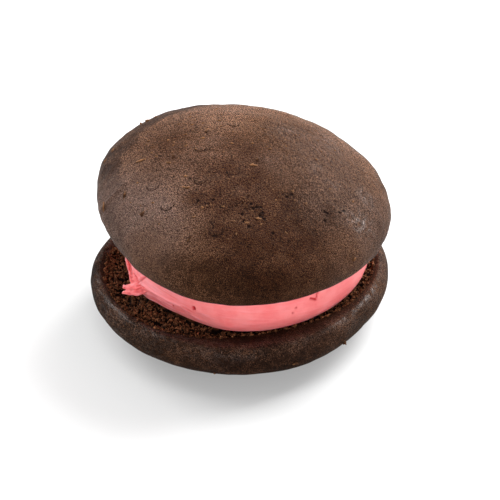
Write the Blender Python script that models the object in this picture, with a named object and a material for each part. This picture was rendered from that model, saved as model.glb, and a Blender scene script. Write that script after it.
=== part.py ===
"""A whoopie pie: two domed chocolate cakes, flat face to flat face, with a thick layer of pink cream between them.

Metres, +Z up. The lower cake rests on its dome and the upper one leans a little, down to the right. The origin is
the middle of the pie's footprint, on the surface that it stands on.
"""

import math
from dataclasses import dataclass

import bmesh
import bpy
from mathutils import Matrix, Vector, noise

MM = 0.001
GAP = 0.3 * MM

# Each outline is a round one with a few low waves: (bulges around it, share of the radius, azimuth of the first).
LOWER_WAVES = ((2, 0.0175, -38), (3, 0.0186, -46), (4, 0.007, 7), (5, 0.004, 0))
UPPER_WAVES = ((2, 0.034, -72), (3, 0.024, 12), (4, 0.010, -22))
CREAM_WAVES = ((1, 0.055, 10), (2, 0.034, 42))


@dataclass(frozen=True)
class Cake:
    """A cake as baked: dome up, its widest ring in the plane z = 0, its flat crumb face below.

    The lip is the band of skin between the rim's crest and the open crumb, widest at azimuth lip_extra_at.
    """

    name: str
    radius: float
    dome_height: float
    dome_power: float
    pressed: float
    edge_depth: float
    edge_inset: float
    waves: tuple
    lip_width: float
    lip_extra: float
    lip_extra_at: float
    dent_depth: float
    seed: float
    triangles: int


LOWER = Cake(
    name="cake_lower", radius=43.8 * MM, dome_height=12.5 * MM, dome_power=2.4, pressed=0.4 * MM,
    edge_depth=4.0 * MM, edge_inset=2.9 * MM, waves=LOWER_WAVES,
    lip_width=1.5 * MM, lip_extra=6.2 * MM, lip_extra_at=78, dent_depth=0.35 * MM, seed=3.0, triangles=5200,
)
UPPER = Cake(
    name="cake_upper", radius=43.9 * MM, dome_height=18.6 * MM, dome_power=1.9, pressed=0,
    edge_depth=5.0 * MM, edge_inset=4.7 * MM, waves=UPPER_WAVES,
    lip_width=2.2 * MM, lip_extra=1.0 * MM, lip_extra_at=200, dent_depth=0.5 * MM, seed=11.0, triangles=4400,
)
CAKE_COLOUR = (0.075, 0.042, 0.028)
CAKE_ROUGHNESS = 0.6
LIP_EXTRA_SPREAD = math.radians(40)
DENT_SIZE = 24 * MM

# The lower cake's upright axis stands here, so that the whole pie's footprint is centred on the origin.
PIE_AXIS = Vector((0.3, -1.3, 0)) * MM
LOWER_CENTRE = Vector((0, 0, LOWER.dome_height - LOWER.pressed))
UPPER_CENTRE = Vector((0.6, 2.6, 36.4)) * MM
UPPER_LEAN_FORWARD = math.radians(3.1)
UPPER_LEAN_RIGHT = math.radians(4.5)

# The crumb face lies this far in from the rim's crest, with open pores between its grains.
CRUMB_SUNK = 1.3 * MM
GRAIN = 2.3 * MM
GRAIN_REACH = 0.8
PORE_DEPTH = 1.1 * MM
CRUMB_HIDDEN_WITHIN = 28 * MM

# Degrees down from the blank's pole where the dome, the rounded edge and the ring of crumb end.
DOME_END = 92
EDGE_END = 112
RING_END = 146

CREAM_COLOUR = (0.87, 0.2, 0.21)
CREAM_ROUGHNESS = 0.45
CREAM_RADIUS = 36.0 * MM
CREAM_BULGE = 3.0 * MM
CREAM_BULGE_POWER = 2.2
CREAM_SIDE_END = 62
CREAM_HOLLOW = 3.6 * MM
CREAM_HOLLOW_AT = math.radians(232)
CREAM_HOLLOW_SPREAD = math.radians(30)
CREAM_TRIANGLES = 3400
HALF_CREAM = 8 * MM
STREAK_DEPTH = 0.3 * MM
STREAK_SIZE = Vector((14, 14, 4)) * MM

CAKE_CUTS = 95
CREAM_CUTS = 63
LICK_CUTS = 11


@dataclass(frozen=True)
class Lick:
    """A torn lick of cream, drawn out of the side: from its root inside the cream to its tip."""

    name: str
    root: Vector
    tip: Vector
    width: float
    thickness: float
    tip_share: float
    sag: float
    ragged: float


LICKS = (
    Lick(
        name="lick_tongue", root=Vector((-25.5, -15.2, 20.2)) * MM, tip=Vector((-34.6, -16.6, 18.7)) * MM,
        width=5.6 * MM, thickness=2.0 * MM, tip_share=0.6, sag=0.7 * MM, ragged=0.7 * MM,
    ),
    Lick(
        name="lick_curl", root=Vector((-30.6, -15.4, 19.8)) * MM, tip=Vector((-33.2, -4.6, 25.2)) * MM,
        width=2.6 * MM, thickness=2.2 * MM, tip_share=0.7, sag=-0.6 * MM, ragged=0.4 * MM,
    ),
)


def clear_scene():
    for obj in list(bpy.data.objects):
        bpy.data.objects.remove(obj)


def smooth_step(value):
    value = min(max(value, 0.0), 1.0)
    return value * value * (3 - 2 * value)


def bell(offset, spread):
    return math.exp(-((offset / spread) ** 2))


def turn_between(azimuth, other):
    """The angle between two azimuths, from 0 to half a turn."""
    return abs((azimuth - other + math.pi) % (2 * math.pi) - math.pi)


def outline_share(waves, azimuth):
    return 1 + sum(share * math.cos(bulges * (azimuth - math.radians(at))) for bulges, share, at in waves)


def between(stations, value):
    """Straight-line interpolation in a list of (value, result) stations."""
    for (low, first), (high, second) in zip(stations, stations[1:]):
        if value <= high:
            return first + (second - first) * (value - low) / (high - low)
    return stations[-1][1]


def lip_inner_radius(cake, azimuth):
    """Where the skin of the rim ends and the open crumb begins."""
    wide = cake.lip_extra * bell(turn_between(azimuth, math.radians(cake.lip_extra_at)), LIP_EXTRA_SPREAD)
    return cake.radius - cake.edge_inset - cake.lip_width - wide


def crumb_pores(cake, point):
    """Depth of the pores between grains, 0 at the middle of each grain."""
    nearest = noise.voronoi((point + Vector((cake.seed, 0, 0))) / GRAIN)[0][0]
    return PORE_DEPTH * smooth_step(nearest / GRAIN_REACH)


def face_depth(cake, radius, azimuth):
    """How far the flat side lies in from the rim's crest: the skin's lip slopes down to the open crumb."""
    crest = cake.radius - cake.edge_inset
    inner = lip_inner_radius(cake, azimuth)
    depth = CRUMB_SUNK * smooth_step((crest - radius) / (crest - inner))
    if CRUMB_HIDDEN_WITHIN < radius < inner:
        fade = smooth_step((inner - radius) / MM) * smooth_step((radius - CRUMB_HIDDEN_WITHIN) / (2 * MM))
        point = Vector((math.cos(azimuth), math.sin(azimuth), 0)) * radius
        depth += fade * crumb_pores(cake, point)
    return depth


def cake_point(cake, direction):
    """Where a point of the round blank goes: down the dome, round the edge, then in across the flat face."""
    azimuth = math.atan2(direction.y, direction.x)
    polar = math.degrees(math.acos(max(-1.0, min(1.0, direction.z))))
    crest = cake.radius - cake.edge_inset
    if polar <= DOME_END:
        share = math.sin(math.radians(90 * polar / DOME_END))
        radius = cake.radius * share
        height = cake.dome_height * (1 - share**cake.dome_power) ** (1 / cake.dome_power)
        height = min(height, cake.dome_height - cake.pressed)
    elif polar <= EDGE_END:
        turn = math.radians(90 * (polar - DOME_END) / (EDGE_END - DOME_END))
        radius = cake.radius - cake.edge_inset * (1 - math.cos(turn))
        height = -cake.edge_depth * math.sin(turn)
    else:
        radius = between([(EDGE_END, crest), (RING_END, CRUMB_HIDDEN_WITHIN), (180, 0)], polar)
        height = face_depth(cake, radius, azimuth) - cake.edge_depth
    radius *= outline_share(cake.waves, azimuth)
    return Vector((radius * math.cos(azimuth), radius * math.sin(azimuth), height))


def cake_dents(cake, point):
    """The skin's broad hollows and swells, which leave the flat face and the pressed spot as they are."""
    sway = noise.noise(point / DENT_SIZE + Vector((cake.seed, 0, 0)))
    on_skin = smooth_step((point.z + cake.edge_depth) / (3 * MM))
    below_spot = cake.dome_height - cake.pressed - point.z
    off_spot = smooth_step(below_spot / (2 * MM)) if cake.pressed else 1
    return cake.dent_depth * sway * on_skin * off_spot


def round_blank(cuts):
    """A ball of even, four-sided faces: a cube cut into a grid and blown round."""
    blank = bmesh.new()
    bmesh.ops.create_cube(blank, size=2)
    bmesh.ops.subdivide_edges(blank, edges=blank.edges[:], cuts=cuts, use_grid_fill=True)
    for vertex in blank.verts:
        evened = [math.tan(value * math.pi / 4) for value in vertex.co]
        vertex.co = Vector(evened).normalized()
    return blank


def to_object(blank, name, colour, roughness, collection):
    """Makes an object of a shaped blank, with a material of its own."""
    mesh = bpy.data.meshes.new(name)
    blank.to_mesh(mesh)
    blank.free()
    mesh.shade_smooth()
    obj = bpy.data.objects.new(name, mesh)
    collection.objects.link(obj)
    material = bpy.data.materials.new(name)
    material.use_nodes = True
    shader = material.node_tree.nodes["Principled BSDF"]
    shader.inputs["Base Color"].default_value = (*colour, 1)
    shader.inputs["Roughness"].default_value = roughness
    mesh.materials.append(material)
    return obj


def thin_out(obj, triangles):
    """Fewer triangles where the surface is even, so that the pores and edges keep theirs."""
    obj.data.calc_loop_triangles()
    modifier = obj.modifiers.new("Decimate", "DECIMATE")
    modifier.use_collapse_triangulate = True
    modifier.ratio = triangles / len(obj.data.loop_triangles)


def make_cake(cake, collection):
    blank = round_blank(CAKE_CUTS)
    for vertex in blank.verts:
        vertex.co = cake_point(cake, vertex.co)
    blank.normal_update()
    dented = [vertex.co + vertex.normal * cake_dents(cake, vertex.co) for vertex in blank.verts]
    for vertex, place in zip(blank.verts, dented):
        vertex.co = place
    obj = to_object(blank, cake.name, CAKE_COLOUR, CAKE_ROUGHNESS, collection)
    thin_out(obj, cake.triangles)
    return obj


def upper_matrix():
    """The upper cake's place over the lower one's axis, with its lean."""
    lean = Matrix.Rotation(UPPER_LEAN_RIGHT, 4, "Y") @ Matrix.Rotation(UPPER_LEAN_FORWARD, 4, "X")
    return Matrix.Translation(UPPER_CENTRE) @ lean


def cream_floor():
    """The height of the cream's flat underside, a gap above the lower cake's crumb."""
    return LOWER_CENTRE.z + LOWER.edge_depth - CRUMB_SUNK + GAP


def cream_ceiling(x, y):
    """The height of the cream's flat top at (x, y), a gap below the upper cake's leaning crumb face."""
    placed = upper_matrix()
    normal = placed.to_3x3() @ Vector((0, 0, 1))
    on_face = placed @ Vector((0, 0, CRUMB_SUNK - UPPER.edge_depth - GAP))
    return on_face.z - (normal.x * (x - on_face.x) + normal.y * (y - on_face.y)) / normal.z


def cream_radius(azimuth):
    """The cream's widest reach: fuller to the right, and hollowed where a tongue was pulled out of it."""
    hollow = CREAM_HOLLOW * bell(turn_between(azimuth, CREAM_HOLLOW_AT), CREAM_HOLLOW_SPREAD)
    return CREAM_RADIUS * outline_share(CREAM_WAVES, azimuth) - hollow


def spatula_streaks(azimuth, level):
    """Long shallow marks along the cream's side."""
    place = Vector((math.cos(azimuth), math.sin(azimuth), 0)) * CREAM_RADIUS
    place.z = HALF_CREAM * level
    scaled = Vector([length / size for length, size in zip(place, STREAK_SIZE)])
    return STREAK_DEPTH * noise.noise(scaled)


def cream_point(direction):
    """Where a point of the round blank goes: the bulging side, or the flat top or underside against a cake."""
    azimuth = math.atan2(direction.y, direction.x)
    latitude = math.degrees(math.asin(max(-1.0, min(1.0, direction.z))))
    reach = cream_radius(azimuth)
    if abs(latitude) <= CREAM_SIDE_END:
        level = latitude / CREAM_SIDE_END
        round_side = (1 - abs(level) ** CREAM_BULGE_POWER) ** (1 / CREAM_BULGE_POWER)
        radius = reach - CREAM_BULGE * (1 - round_side) + round_side * spatula_streaks(azimuth, level)
    else:
        level = math.copysign(1, latitude)
        radius = (reach - CREAM_BULGE) * (90 - abs(latitude)) / (90 - CREAM_SIDE_END)
    x, y = radius * math.cos(azimuth), radius * math.sin(azimuth)
    share = (level + 1) / 2
    return Vector((x, y, cream_floor() * (1 - share) + cream_ceiling(x, y) * share))


def lick_point(lick, direction):
    """A flat, tapering tongue: along from root to tip, sagging in the middle, torn ragged at the tip."""
    along = (direction.x + 1) / 2
    size = 1 - (1 - lick.tip_share) * along
    torn = lick.ragged * noise.noise(direction * 2.3) * along
    ahead = (lick.tip - lick.root).normalized()
    aside = ahead.cross(Vector((0, 0, 1))).normalized()
    upward = aside.cross(ahead)
    place = lick.root.lerp(lick.tip, along) + ahead * torn
    place -= upward * lick.sag * math.sin(math.pi * along)
    across = aside * direction.y * lick.width + upward * direction.z * lick.thickness
    return place + across * size / 2


def join_licks(obj, scrap):
    """Fuses the licks in the scrap collection to the cream, and removes them."""
    modifier = obj.modifiers.new("Union", "BOOLEAN")
    modifier.operation = "UNION"
    modifier.operand_type = "COLLECTION"
    modifier.collection = scrap
    evaluated = obj.evaluated_get(bpy.context.evaluated_depsgraph_get())
    joined = bpy.data.meshes.new_from_object(evaluated)
    obj.modifiers.clear()
    obj.data = joined
    for lick in list(scrap.objects):
        bpy.data.objects.remove(lick)
    bpy.data.collections.remove(scrap)


def make_cream(collection):
    blank = round_blank(CREAM_CUTS)
    for vertex in blank.verts:
        vertex.co = cream_point(vertex.co)
    obj = to_object(blank, "cream", CREAM_COLOUR, CREAM_ROUGHNESS, collection)
    scrap = bpy.data.collections.new("licks")
    bpy.context.scene.collection.children.link(scrap)
    for lick in LICKS:
        shape = round_blank(LICK_CUTS)
        for vertex in shape.verts:
            vertex.co = lick_point(lick, vertex.co)
        shape.normal_update()
        to_object(shape, lick.name, CREAM_COLOUR, CREAM_ROUGHNESS, scrap)
    join_licks(obj, scrap)
    thin_out(obj, CREAM_TRIANGLES)
    return obj


def main():
    clear_scene()
    collection = bpy.data.collections.new("whoopie_pie")
    bpy.context.scene.collection.children.link(collection)
    pie = bpy.data.objects.new("pie", None)
    pie.location = PIE_AXIS
    collection.objects.link(pie)
    lower = make_cake(LOWER, collection)
    lower.matrix_local = Matrix.Translation(LOWER_CENTRE) @ Matrix.Rotation(math.pi, 4, "X")
    upper = make_cake(UPPER, collection)
    upper.matrix_local = upper_matrix()
    cream = make_cream(collection)
    for piece in (lower, upper, cream):
        piece.parent = pie


main()
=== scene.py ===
"""A whoopie pie in a plain studio, seen as in the photo: two domed chocolate cakes with pink cream between.

Metres, +Z up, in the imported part's own frame. Each cake and the cream is moulded from a round blank, like its
solid, but finely enough for its skin, crumb and spatula marks. Loose crumbs are scattered on top.
"""

import logging
import math
from dataclasses import dataclass
from enum import Enum

import bmesh
import bpy
import numpy as np
from mathutils import Matrix, Vector, noise


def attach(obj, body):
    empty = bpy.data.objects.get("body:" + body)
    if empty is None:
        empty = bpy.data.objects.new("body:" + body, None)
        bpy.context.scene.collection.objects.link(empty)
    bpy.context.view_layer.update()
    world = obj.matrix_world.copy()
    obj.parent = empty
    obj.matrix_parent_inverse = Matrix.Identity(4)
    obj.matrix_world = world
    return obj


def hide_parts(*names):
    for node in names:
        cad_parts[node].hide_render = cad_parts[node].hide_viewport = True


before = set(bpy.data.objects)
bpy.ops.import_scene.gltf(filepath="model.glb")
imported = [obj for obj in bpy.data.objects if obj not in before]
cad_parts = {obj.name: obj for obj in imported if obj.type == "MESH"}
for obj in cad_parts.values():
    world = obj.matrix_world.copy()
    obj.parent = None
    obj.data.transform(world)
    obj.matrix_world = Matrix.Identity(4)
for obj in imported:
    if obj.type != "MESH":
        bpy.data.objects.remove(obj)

LOG = logging.getLogger("whoopie_pie")
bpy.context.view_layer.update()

MM = 0.001
FULL_TURN = 2 * math.pi
# The cream is this far off each cake's crumb.
GAP = 0.3 * MM
# In mm, farther than any crack or pore shows.
FAR = 9.0
# The skin's fine wrinkles run this far round from the X axis.
WRINKLE_TURN = math.radians(29)

Array = np.ndarray
Node = bpy.types.Node
Socket = bpy.types.NodeSocket
Sources = dict[str, Socket]
Colour = tuple[float, float, float, float]
Waves = tuple[tuple[int, float, float], ...]
Spots = tuple[tuple[float, float], ...]

# The lower cake's upright axis stands here, so that the whole pie's footprint is centred on the origin.
PIE_AXIS = Vector((0.3, -1.3, 0)) * MM
# The torn crumb lies this far in from the rim's crest.
CRUMB_SUNK = 1.3 * MM


class Slot(Enum):
    """The record's material slots."""

    CAKE_SKIN = "cake_skin"
    PINK_CREAM = "pink_cream"


def smooth_step(value: Array) -> Array:
    """Eases from 0 to 1 while the value goes from 0 to 1.

    Args:
        value: Any numbers; those outside 0 to 1 are held at the ends.

    Returns:
        The eased numbers.
    """
    value = np.clip(value, 0, 1)
    return value * value * (3 - 2 * value)


def bell(offset: Array, spread: float) -> Array:
    """A smooth hump, 1 where the offset is 0.

    Args:
        offset: Distances or angles from the hump's middle.
        spread: The offset at which the hump has fallen to about a third.

    Returns:
        The hump's height at each offset.
    """
    return np.exp(-((offset / spread) ** 2))


def turn_between(azimuth: Array, other: float) -> Array:
    """The unsigned angle between azimuths.

    Args:
        azimuth: Angles in radians.
        other: The angle that they are measured from.

    Returns:
        Angles from 0 to half a turn.
    """
    return np.abs((azimuth - other + math.pi) % FULL_TURN - math.pi)


def outline_share(waves: Waves, azimuth: Array) -> Array:
    """How far an uneven round outline reaches, as a share of its radius.

    Args:
        waves: (bulges around the outline, share of the radius, azimuth of the first bulge in degrees) each.
        azimuth: Where to read the outline, in radians.

    Returns:
        The share at each azimuth, about 1.
    """
    return 1 + sum(share * np.cos(bulges * (azimuth - math.radians(at))) for bulges, share, at in waves)


def soft_noise(places: Array, size: float, seed: float = 0.0) -> Array:
    """Smooth noise over points.

    Args:
        places: Points, one a row.
        size: The distance between bumps, in the points' unit.
        seed: Moves the pattern along X.

    Returns:
        Values from about -1 to 1.
    """
    shifted = places / size + (seed, 0, 0)
    return np.array([noise.noise(place) for place in shifted.tolist()])


def rough_noise(places: Array, size: float, seed: float = 0.0, octaves: int = 4) -> Array:
    """Noise with finer and finer bumps over the broad ones.

    Args:
        places: Points, one a row.
        size: The distance between the broad bumps.
        seed: Moves the pattern along X.
        octaves: How many times the bumps halve in size.

    Returns:
        Values from about -1 to 1.
    """
    shifted = places / size + (seed, 0, 0)
    return np.array([noise.fractal(place, 1.0, 2.0, octaves) for place in shifted.tolist()])


def cell_distance(places: Array, size: float, seed: float = 0.0) -> tuple[Array, Array]:
    """Distances to scattered cell middles.

    Args:
        places: Points, one a row.
        size: The distance between cell middles.
        seed: Moves the pattern along X.

    Returns:
        The distance to the nearest middle, and how much nearer it is than the next one, both in cell sizes.
    """
    shifted = places / size + (seed, 0, 0)
    found = np.array([noise.voronoi(place)[0][:2] for place in shifted.tolist()])
    return found[:, 0], found[:, 1] - found[:, 0]


def distance_to_line(places: Array, line: Array) -> Array:
    """The distance from each point to a line of straight runs.

    Args:
        places: Points, one a row.
        line: The line's own points, one a row.

    Returns:
        One distance for each point.
    """
    nearest = np.full(len(places), np.inf)
    for start, end in zip(line, line[1:]):
        run = end - start
        along = np.clip((places - start) @ run / (run @ run), 0, 1)
        nearest = np.minimum(nearest, np.linalg.norm(places - start - along[:, None] * run, axis=1))
    return nearest


def vertex_places(mesh: bpy.types.Mesh) -> Array:
    """Reads a mesh's vertices as an array with one point a row."""
    values = np.empty(len(mesh.vertices) * 3)
    mesh.vertices.foreach_get("co", values)
    return values.reshape(-1, 3)


def vertex_normals(mesh: bpy.types.Mesh) -> Array:
    """Reads a mesh's vertex normals as an array with one direction a row."""
    values = np.empty(len(mesh.vertices) * 3)
    mesh.vertex_normals.foreach_get("vector", values)
    return values.reshape(-1, 3)


def move_vertices(mesh: bpy.types.Mesh, places: Array) -> None:
    """Puts a mesh's vertices at new places.

    Args:
        mesh: The mesh to change.
        places: One point for each vertex.
    """
    mesh.vertices.foreach_set("co", places.ravel())
    mesh.update()


def add_mask(mesh: bpy.types.Mesh, name: str, values: Array) -> None:
    """Stores one number a vertex on a mesh, for its material to read.

    Args:
        mesh: The mesh to mark.
        name: The attribute's name.
        values: One number for each vertex.
    """
    attribute = mesh.attributes.new(name, "FLOAT", "POINT")
    attribute.data.foreach_set("value", values.astype(np.float32))


def carried(places: Array, matrix: Matrix) -> Array:
    """Points moved by a placing matrix.

    Args:
        places: Points, one a row.
        matrix: The rotation and translation.

    Returns:
        The moved points.
    """
    turned = np.array(matrix.to_3x3())
    return places @ turned.T + np.array(matrix.translation)


def round_blank(name: str, cuts: int) -> bpy.types.Mesh:
    """A ball of even, four-sided faces: a cube cut into a grid and blown round.

    Args:
        name: The new mesh's name.
        cuts: How many times each of the cube's edges is cut.

    Returns:
        A mesh whose vertices are directions from the middle.
    """
    blank = bmesh.new()
    bmesh.ops.create_cube(blank, size=2)
    bmesh.ops.subdivide_edges(blank, edges=blank.edges[:], cuts=cuts, use_grid_fill=True)
    mesh = bpy.data.meshes.new(name)
    blank.to_mesh(mesh)
    blank.free()
    evened = np.tan(vertex_places(mesh) * math.pi / 4)
    move_vertices(mesh, evened / np.linalg.norm(evened, axis=1)[:, None])
    mesh.shade_smooth()
    return mesh


def place_piece(name: str, mesh: bpy.types.Mesh, replaced: str | None = None) -> bpy.types.Object:
    """Puts a finished mesh in the scene as a piece of the pie.

    Args:
        name: The piece's name.
        mesh: Its mesh, in the part's frame.
        replaced: The solid that it stands for, if any.

    Returns:
        The new object.
    """
    piece = bpy.data.objects.new(name, mesh)
    bpy.context.scene.collection.objects.link(piece)
    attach(piece, "root")
    if replaced:
        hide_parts(replaced)
    triangles = sum(len(face.vertices) - 2 for face in mesh.polygons)
    LOG.info("%s: %d triangles", name, triangles)
    return piece


class NodeSheet:
    """Adds nodes to one shader tree, with a short call for each kind."""

    def __init__(self, tree: bpy.types.NodeTree) -> None:
        """Starts on a tree, which keeps what it has."""
        self.tree = tree

    def node(self, kind: str, inputs: dict[str | int, object] | None = None, **settings: object) -> Node:
        """Adds a node.

        Args:
            kind: Blender's name for the node type, after "ShaderNode".
            inputs: Values or output sockets for its inputs, by name or position.
            settings: The node's own properties.

        Returns:
            The new node.
        """
        made = self.tree.nodes.new("ShaderNode" + kind)
        for name, value in settings.items():
            setattr(made, name, value)
        for name, value in (inputs or {}).items():
            if isinstance(value, Socket):
                self.tree.links.new(value, made.inputs[name])
            else:
                made.inputs[name].default_value = value
        return made

    def noise(self, where: Socket, size: float, detail: float = 2.0) -> Socket:
        """Soft noise from 0 to 1 whose bumps are about one size apart.

        Args:
            where: The coordinates.
            size: The distance between bumps, in metres.
            detail: How much finer noise rides on the bumps.

        Returns:
            The noise's output.
        """
        made = self.node("TexNoise", {"Vector": where, "Scale": 1 / size, "Detail": detail})
        return made.outputs["Fac"]

    def cells(self, where: Socket, size: float) -> Node:
        """A pattern of cells about one size apart.

        Args:
            where: The coordinates.
            size: The distance between cell middles, in metres.

        Returns:
            The Voronoi node.
        """
        return self.node("TexVoronoi", {"Vector": where, "Scale": 1 / size})

    def span(
        self, value: Socket, low: float, high: float, start: float = 0.0, end: float = 1.0
    ) -> Socket:
        """Maps a range of values smoothly to another and holds it at the ends.

        Args:
            value: What to map.
            low: The value that becomes start.
            high: The value that becomes end.
            start: The result at low.
            end: The result at high.

        Returns:
            The mapped output.
        """
        made = self.node(
            "MapRange",
            {"Value": value, "From Min": low, "From Max": high, "To Min": start, "To Max": end},
            interpolation_type="SMOOTHSTEP",
        )
        return made.outputs["Result"]

    def maths(self, kind: str, first: object, second: object = 0.0) -> Socket:
        """One operation on numbers, such as ADD, MAXIMUM or ABSOLUTE.

        Args:
            kind: Blender's name for the operation.
            first: A number or an output.
            second: A number or an output, where the operation takes two.

        Returns:
            The result's output.
        """
        return self.node("Math", {0: first, 1: second}, operation=kind).outputs[0]

    def product(self, first: object, second: object) -> Socket:
        """Multiplies two values, each a number or an output."""
        return self.maths("MULTIPLY", first, second)

    def between(self, share: object, first: object, second: object) -> Socket:
        """Mixes two numbers.

        Args:
            share: How much of the second number there is, a number or an output.
            first: A number or an output.
            second: A number or an output.

        Returns:
            The mixed number's output.
        """
        return self.node("Mix", {0: share, 2: first, 3: second}, data_type="FLOAT").outputs[0]

    def blend(self, share: object, first: object, second: object, kind: str = "MIX") -> Socket:
        """Mixes two colours.

        Args:
            share: How much of the second colour there is, a number or an output.
            first: A colour or an output.
            second: A colour or an output.
            kind: Blender's name for the way of mixing.

        Returns:
            The mixed colour's output.
        """
        made = self.node("Mix", {0: share, 6: first, 7: second}, data_type="RGBA", blend_type=kind)
        return made.outputs[2]

    def dappled(self, colour: Socket, speckle: Socket, least: float, most: float) -> Socket:
        """Darkens and lightens a colour by a speckle.

        Args:
            colour: The colour.
            speckle: The speckle, from 0 to 1.
            least: What the colour is multiplied by where the speckle is 0.
            most: What it is multiplied by where the speckle is 1.

        Returns:
            The dappled colour's output.
        """
        level = self.span(speckle, 0.0, 1.0, least, most)
        grey = self.node("CombineColor", {0: level, 1: level, 2: level}).outputs[0]
        return self.blend(1.0, colour, grey, "MULTIPLY")

    def mask(self, name: str) -> Socket:
        """Reads a number that the mesh stores for each vertex."""
        return self.node("Attribute", attribute_name=name).outputs["Fac"]

    def bump(self, height: Socket, depth: float) -> Socket:
        """Turns a height into a surface normal.

        Args:
            height: The relief, from 0 to 1.
            depth: How deep it is, in metres.

        Returns:
            The normal's output.
        """
        return self.node("Bump", {"Height": height, "Distance": depth, "Strength": 1.0}).outputs["Normal"]


@dataclass(frozen=True)
class GroupSockets:
    """The named inputs, with their values, and the outputs of a node group."""

    inputs: dict[str, float]
    outputs: tuple[str, ...]


class EffectGroup:
    """A shader node group that several materials share. It is built on first use."""

    name: str = "effect"
    sockets: GroupSockets = GroupSockets({}, ())

    @classmethod
    def tree(cls) -> bpy.types.NodeTree:
        """Finds the group, or builds it.

        Returns:
            The group's node tree.
        """
        if cls.name in bpy.data.node_groups:
            return bpy.data.node_groups[cls.name]
        tree = bpy.data.node_groups.new(cls.name, "ShaderNodeTree")
        tree.interface.new_socket("Where", in_out="INPUT", socket_type="NodeSocketVector")
        for name, value in cls.sockets.inputs.items():
            made = tree.interface.new_socket(name, in_out="INPUT", socket_type="NodeSocketFloat")
            made.default_value = value
        for name in cls.sockets.outputs:
            tree.interface.new_socket(name, in_out="OUTPUT", socket_type="NodeSocketFloat")
        sheet = NodeSheet(tree)
        entry = tree.nodes.new("NodeGroupInput")
        leave = tree.nodes.new("NodeGroupOutput")
        for name, source in cls.build(sheet, entry).items():
            tree.links.new(source, leave.inputs[name])
        return tree

    @classmethod
    def build(cls, sheet: NodeSheet, entry: Node) -> Sources:
        """Makes the group's nodes; each effect has its own.

        Args:
            sheet: The group's node sheet.
            entry: The node with the group's inputs.

        Returns:
            What feeds each output, by name.
        """
        raise NotImplementedError

    @classmethod
    def put(cls, sheet: NodeSheet, where: Socket, **values: object) -> Node:
        """Places the group in a material.

        Args:
            sheet: The material's node sheet.
            where: The coordinates.
            values: Values for the group's inputs, with _ for a space.

        Returns:
            The group node.
        """
        made = sheet.node("Group", node_tree=cls.tree())
        sheet.tree.links.new(where, made.inputs["Where"])
        for name, value in values.items():
            made.inputs[name.replace("_", " ")].default_value = value
        return made


class BakedGrain(EffectGroup):
    """Fine pebbled grain, as on a baked skin or a crumb."""

    name = "baked_grain"
    sockets = GroupSockets({"Fineness": 1600.0, "Pebble Share": 0.5}, ("Height", "Speckle"))

    @classmethod
    def build(cls, sheet: NodeSheet, entry: Node) -> Sources:
        """Pebbles with soft noise over them.

        Args:
            sheet: The group's node sheet.
            entry: The node with the group's inputs.

        Returns:
            The grain's height and its light and dark speckle, both 0 to 1.
        """
        where, fineness = entry.outputs["Where"], entry.outputs["Fineness"]
        warp = sheet.node("TexNoise", {"Vector": where, "Scale": fineness, "Detail": 3.0, "Roughness": 0.6})
        pebbles = sheet.node("TexVoronoi", {"Vector": where, "Scale": fineness}, feature="SMOOTH_F1")
        domes = sheet.span(pebbles.outputs["Distance"], 0.0, 0.8, 1.0, 0.0)
        height = sheet.between(entry.outputs["Pebble Share"], warp.outputs["Fac"], domes)
        finer = sheet.product(fineness, 2.0)
        speck = sheet.node("TexNoise", {"Vector": where, "Scale": finer, "Detail": 3.0, "Roughness": 0.75})
        specks = sheet.span(speck.outputs["Fac"], 0.47, 0.55)
        from_middle = sheet.maths("ABSOLUTE", sheet.maths("SUBTRACT", warp.outputs["Fac"], 0.5))
        folds = sheet.span(from_middle, 0.01, 0.09, 1.0, 0.0)
        return {"Height": height, "Speckle": sheet.span(sheet.between(0.45, specks, folds), 0.37, 0.63)}


class CocoaMottle(EffectGroup):
    """Cloudy unevenness with ragged edges, for baked colour."""

    name = "cocoa_mottle"
    sockets = GroupSockets({"Fineness": 90.0, "Raggedness": 0.5}, ("Cloud", "Flecks"))

    @classmethod
    def build(cls, sheet: NodeSheet, entry: Node) -> Sources:
        """Clouds, and small sparse flecks that gather where the clouds are dense.

        Args:
            sheet: The group's node sheet.
            entry: The node with the group's inputs.

        Returns:
            The clouds and the flecks, both 0 to 1.
        """
        where, fineness = entry.outputs["Where"], entry.outputs["Fineness"]
        cloud = sheet.node(
            "TexNoise",
            {"Vector": where, "Scale": fineness, "Detail": 6.0, "Roughness": entry.outputs["Raggedness"]},
        )
        clouds = sheet.span(cloud.outputs["Fac"], 0.36, 0.64)
        dense = sheet.product(fineness, 9.0)
        flecks = sheet.node("TexVoronoi", {"Vector": where, "Scale": dense})
        near = sheet.span(flecks.outputs["Distance"], 0.12, 0.34, 1.0, 0.0)
        chosen = sheet.node("SeparateColor", {"Color": flecks.outputs["Color"]}).outputs[0]
        kept = sheet.span(chosen, 0.72, 0.8)
        return {"Cloud": clouds, "Flecks": sheet.product(near, kept)}


@dataclass(frozen=True)
class Finish:
    """A named surface finish. Each kind builds its own material once."""

    name: str

    def material(self) -> bpy.types.Material:
        """Finds the finish's material, or builds it.

        Returns:
            The material.
        """
        if self.name in bpy.data.materials:
            return bpy.data.materials[self.name]
        material = bpy.data.materials.new(self.name)
        material.use_nodes = True
        sheet = NodeSheet(material.node_tree)
        shader = material.node_tree.nodes["Principled BSDF"]
        where = sheet.node("TexCoord").outputs["Object"]
        for name, source in self.surface(sheet, where, shader).items():
            sheet.tree.links.new(source, shader.inputs[name])
        return material

    def surface(self, sheet: NodeSheet, where: Socket, shader: Node) -> Sources:
        """Makes the finish's nodes; each kind has its own.

        Args:
            sheet: The material's node sheet.
            where: Object coordinates, in metres.
            shader: The Principled BSDF, for values that are the same all over.

        Returns:
            What feeds each of the shader's inputs, by name.
        """
        raise NotImplementedError


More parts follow.
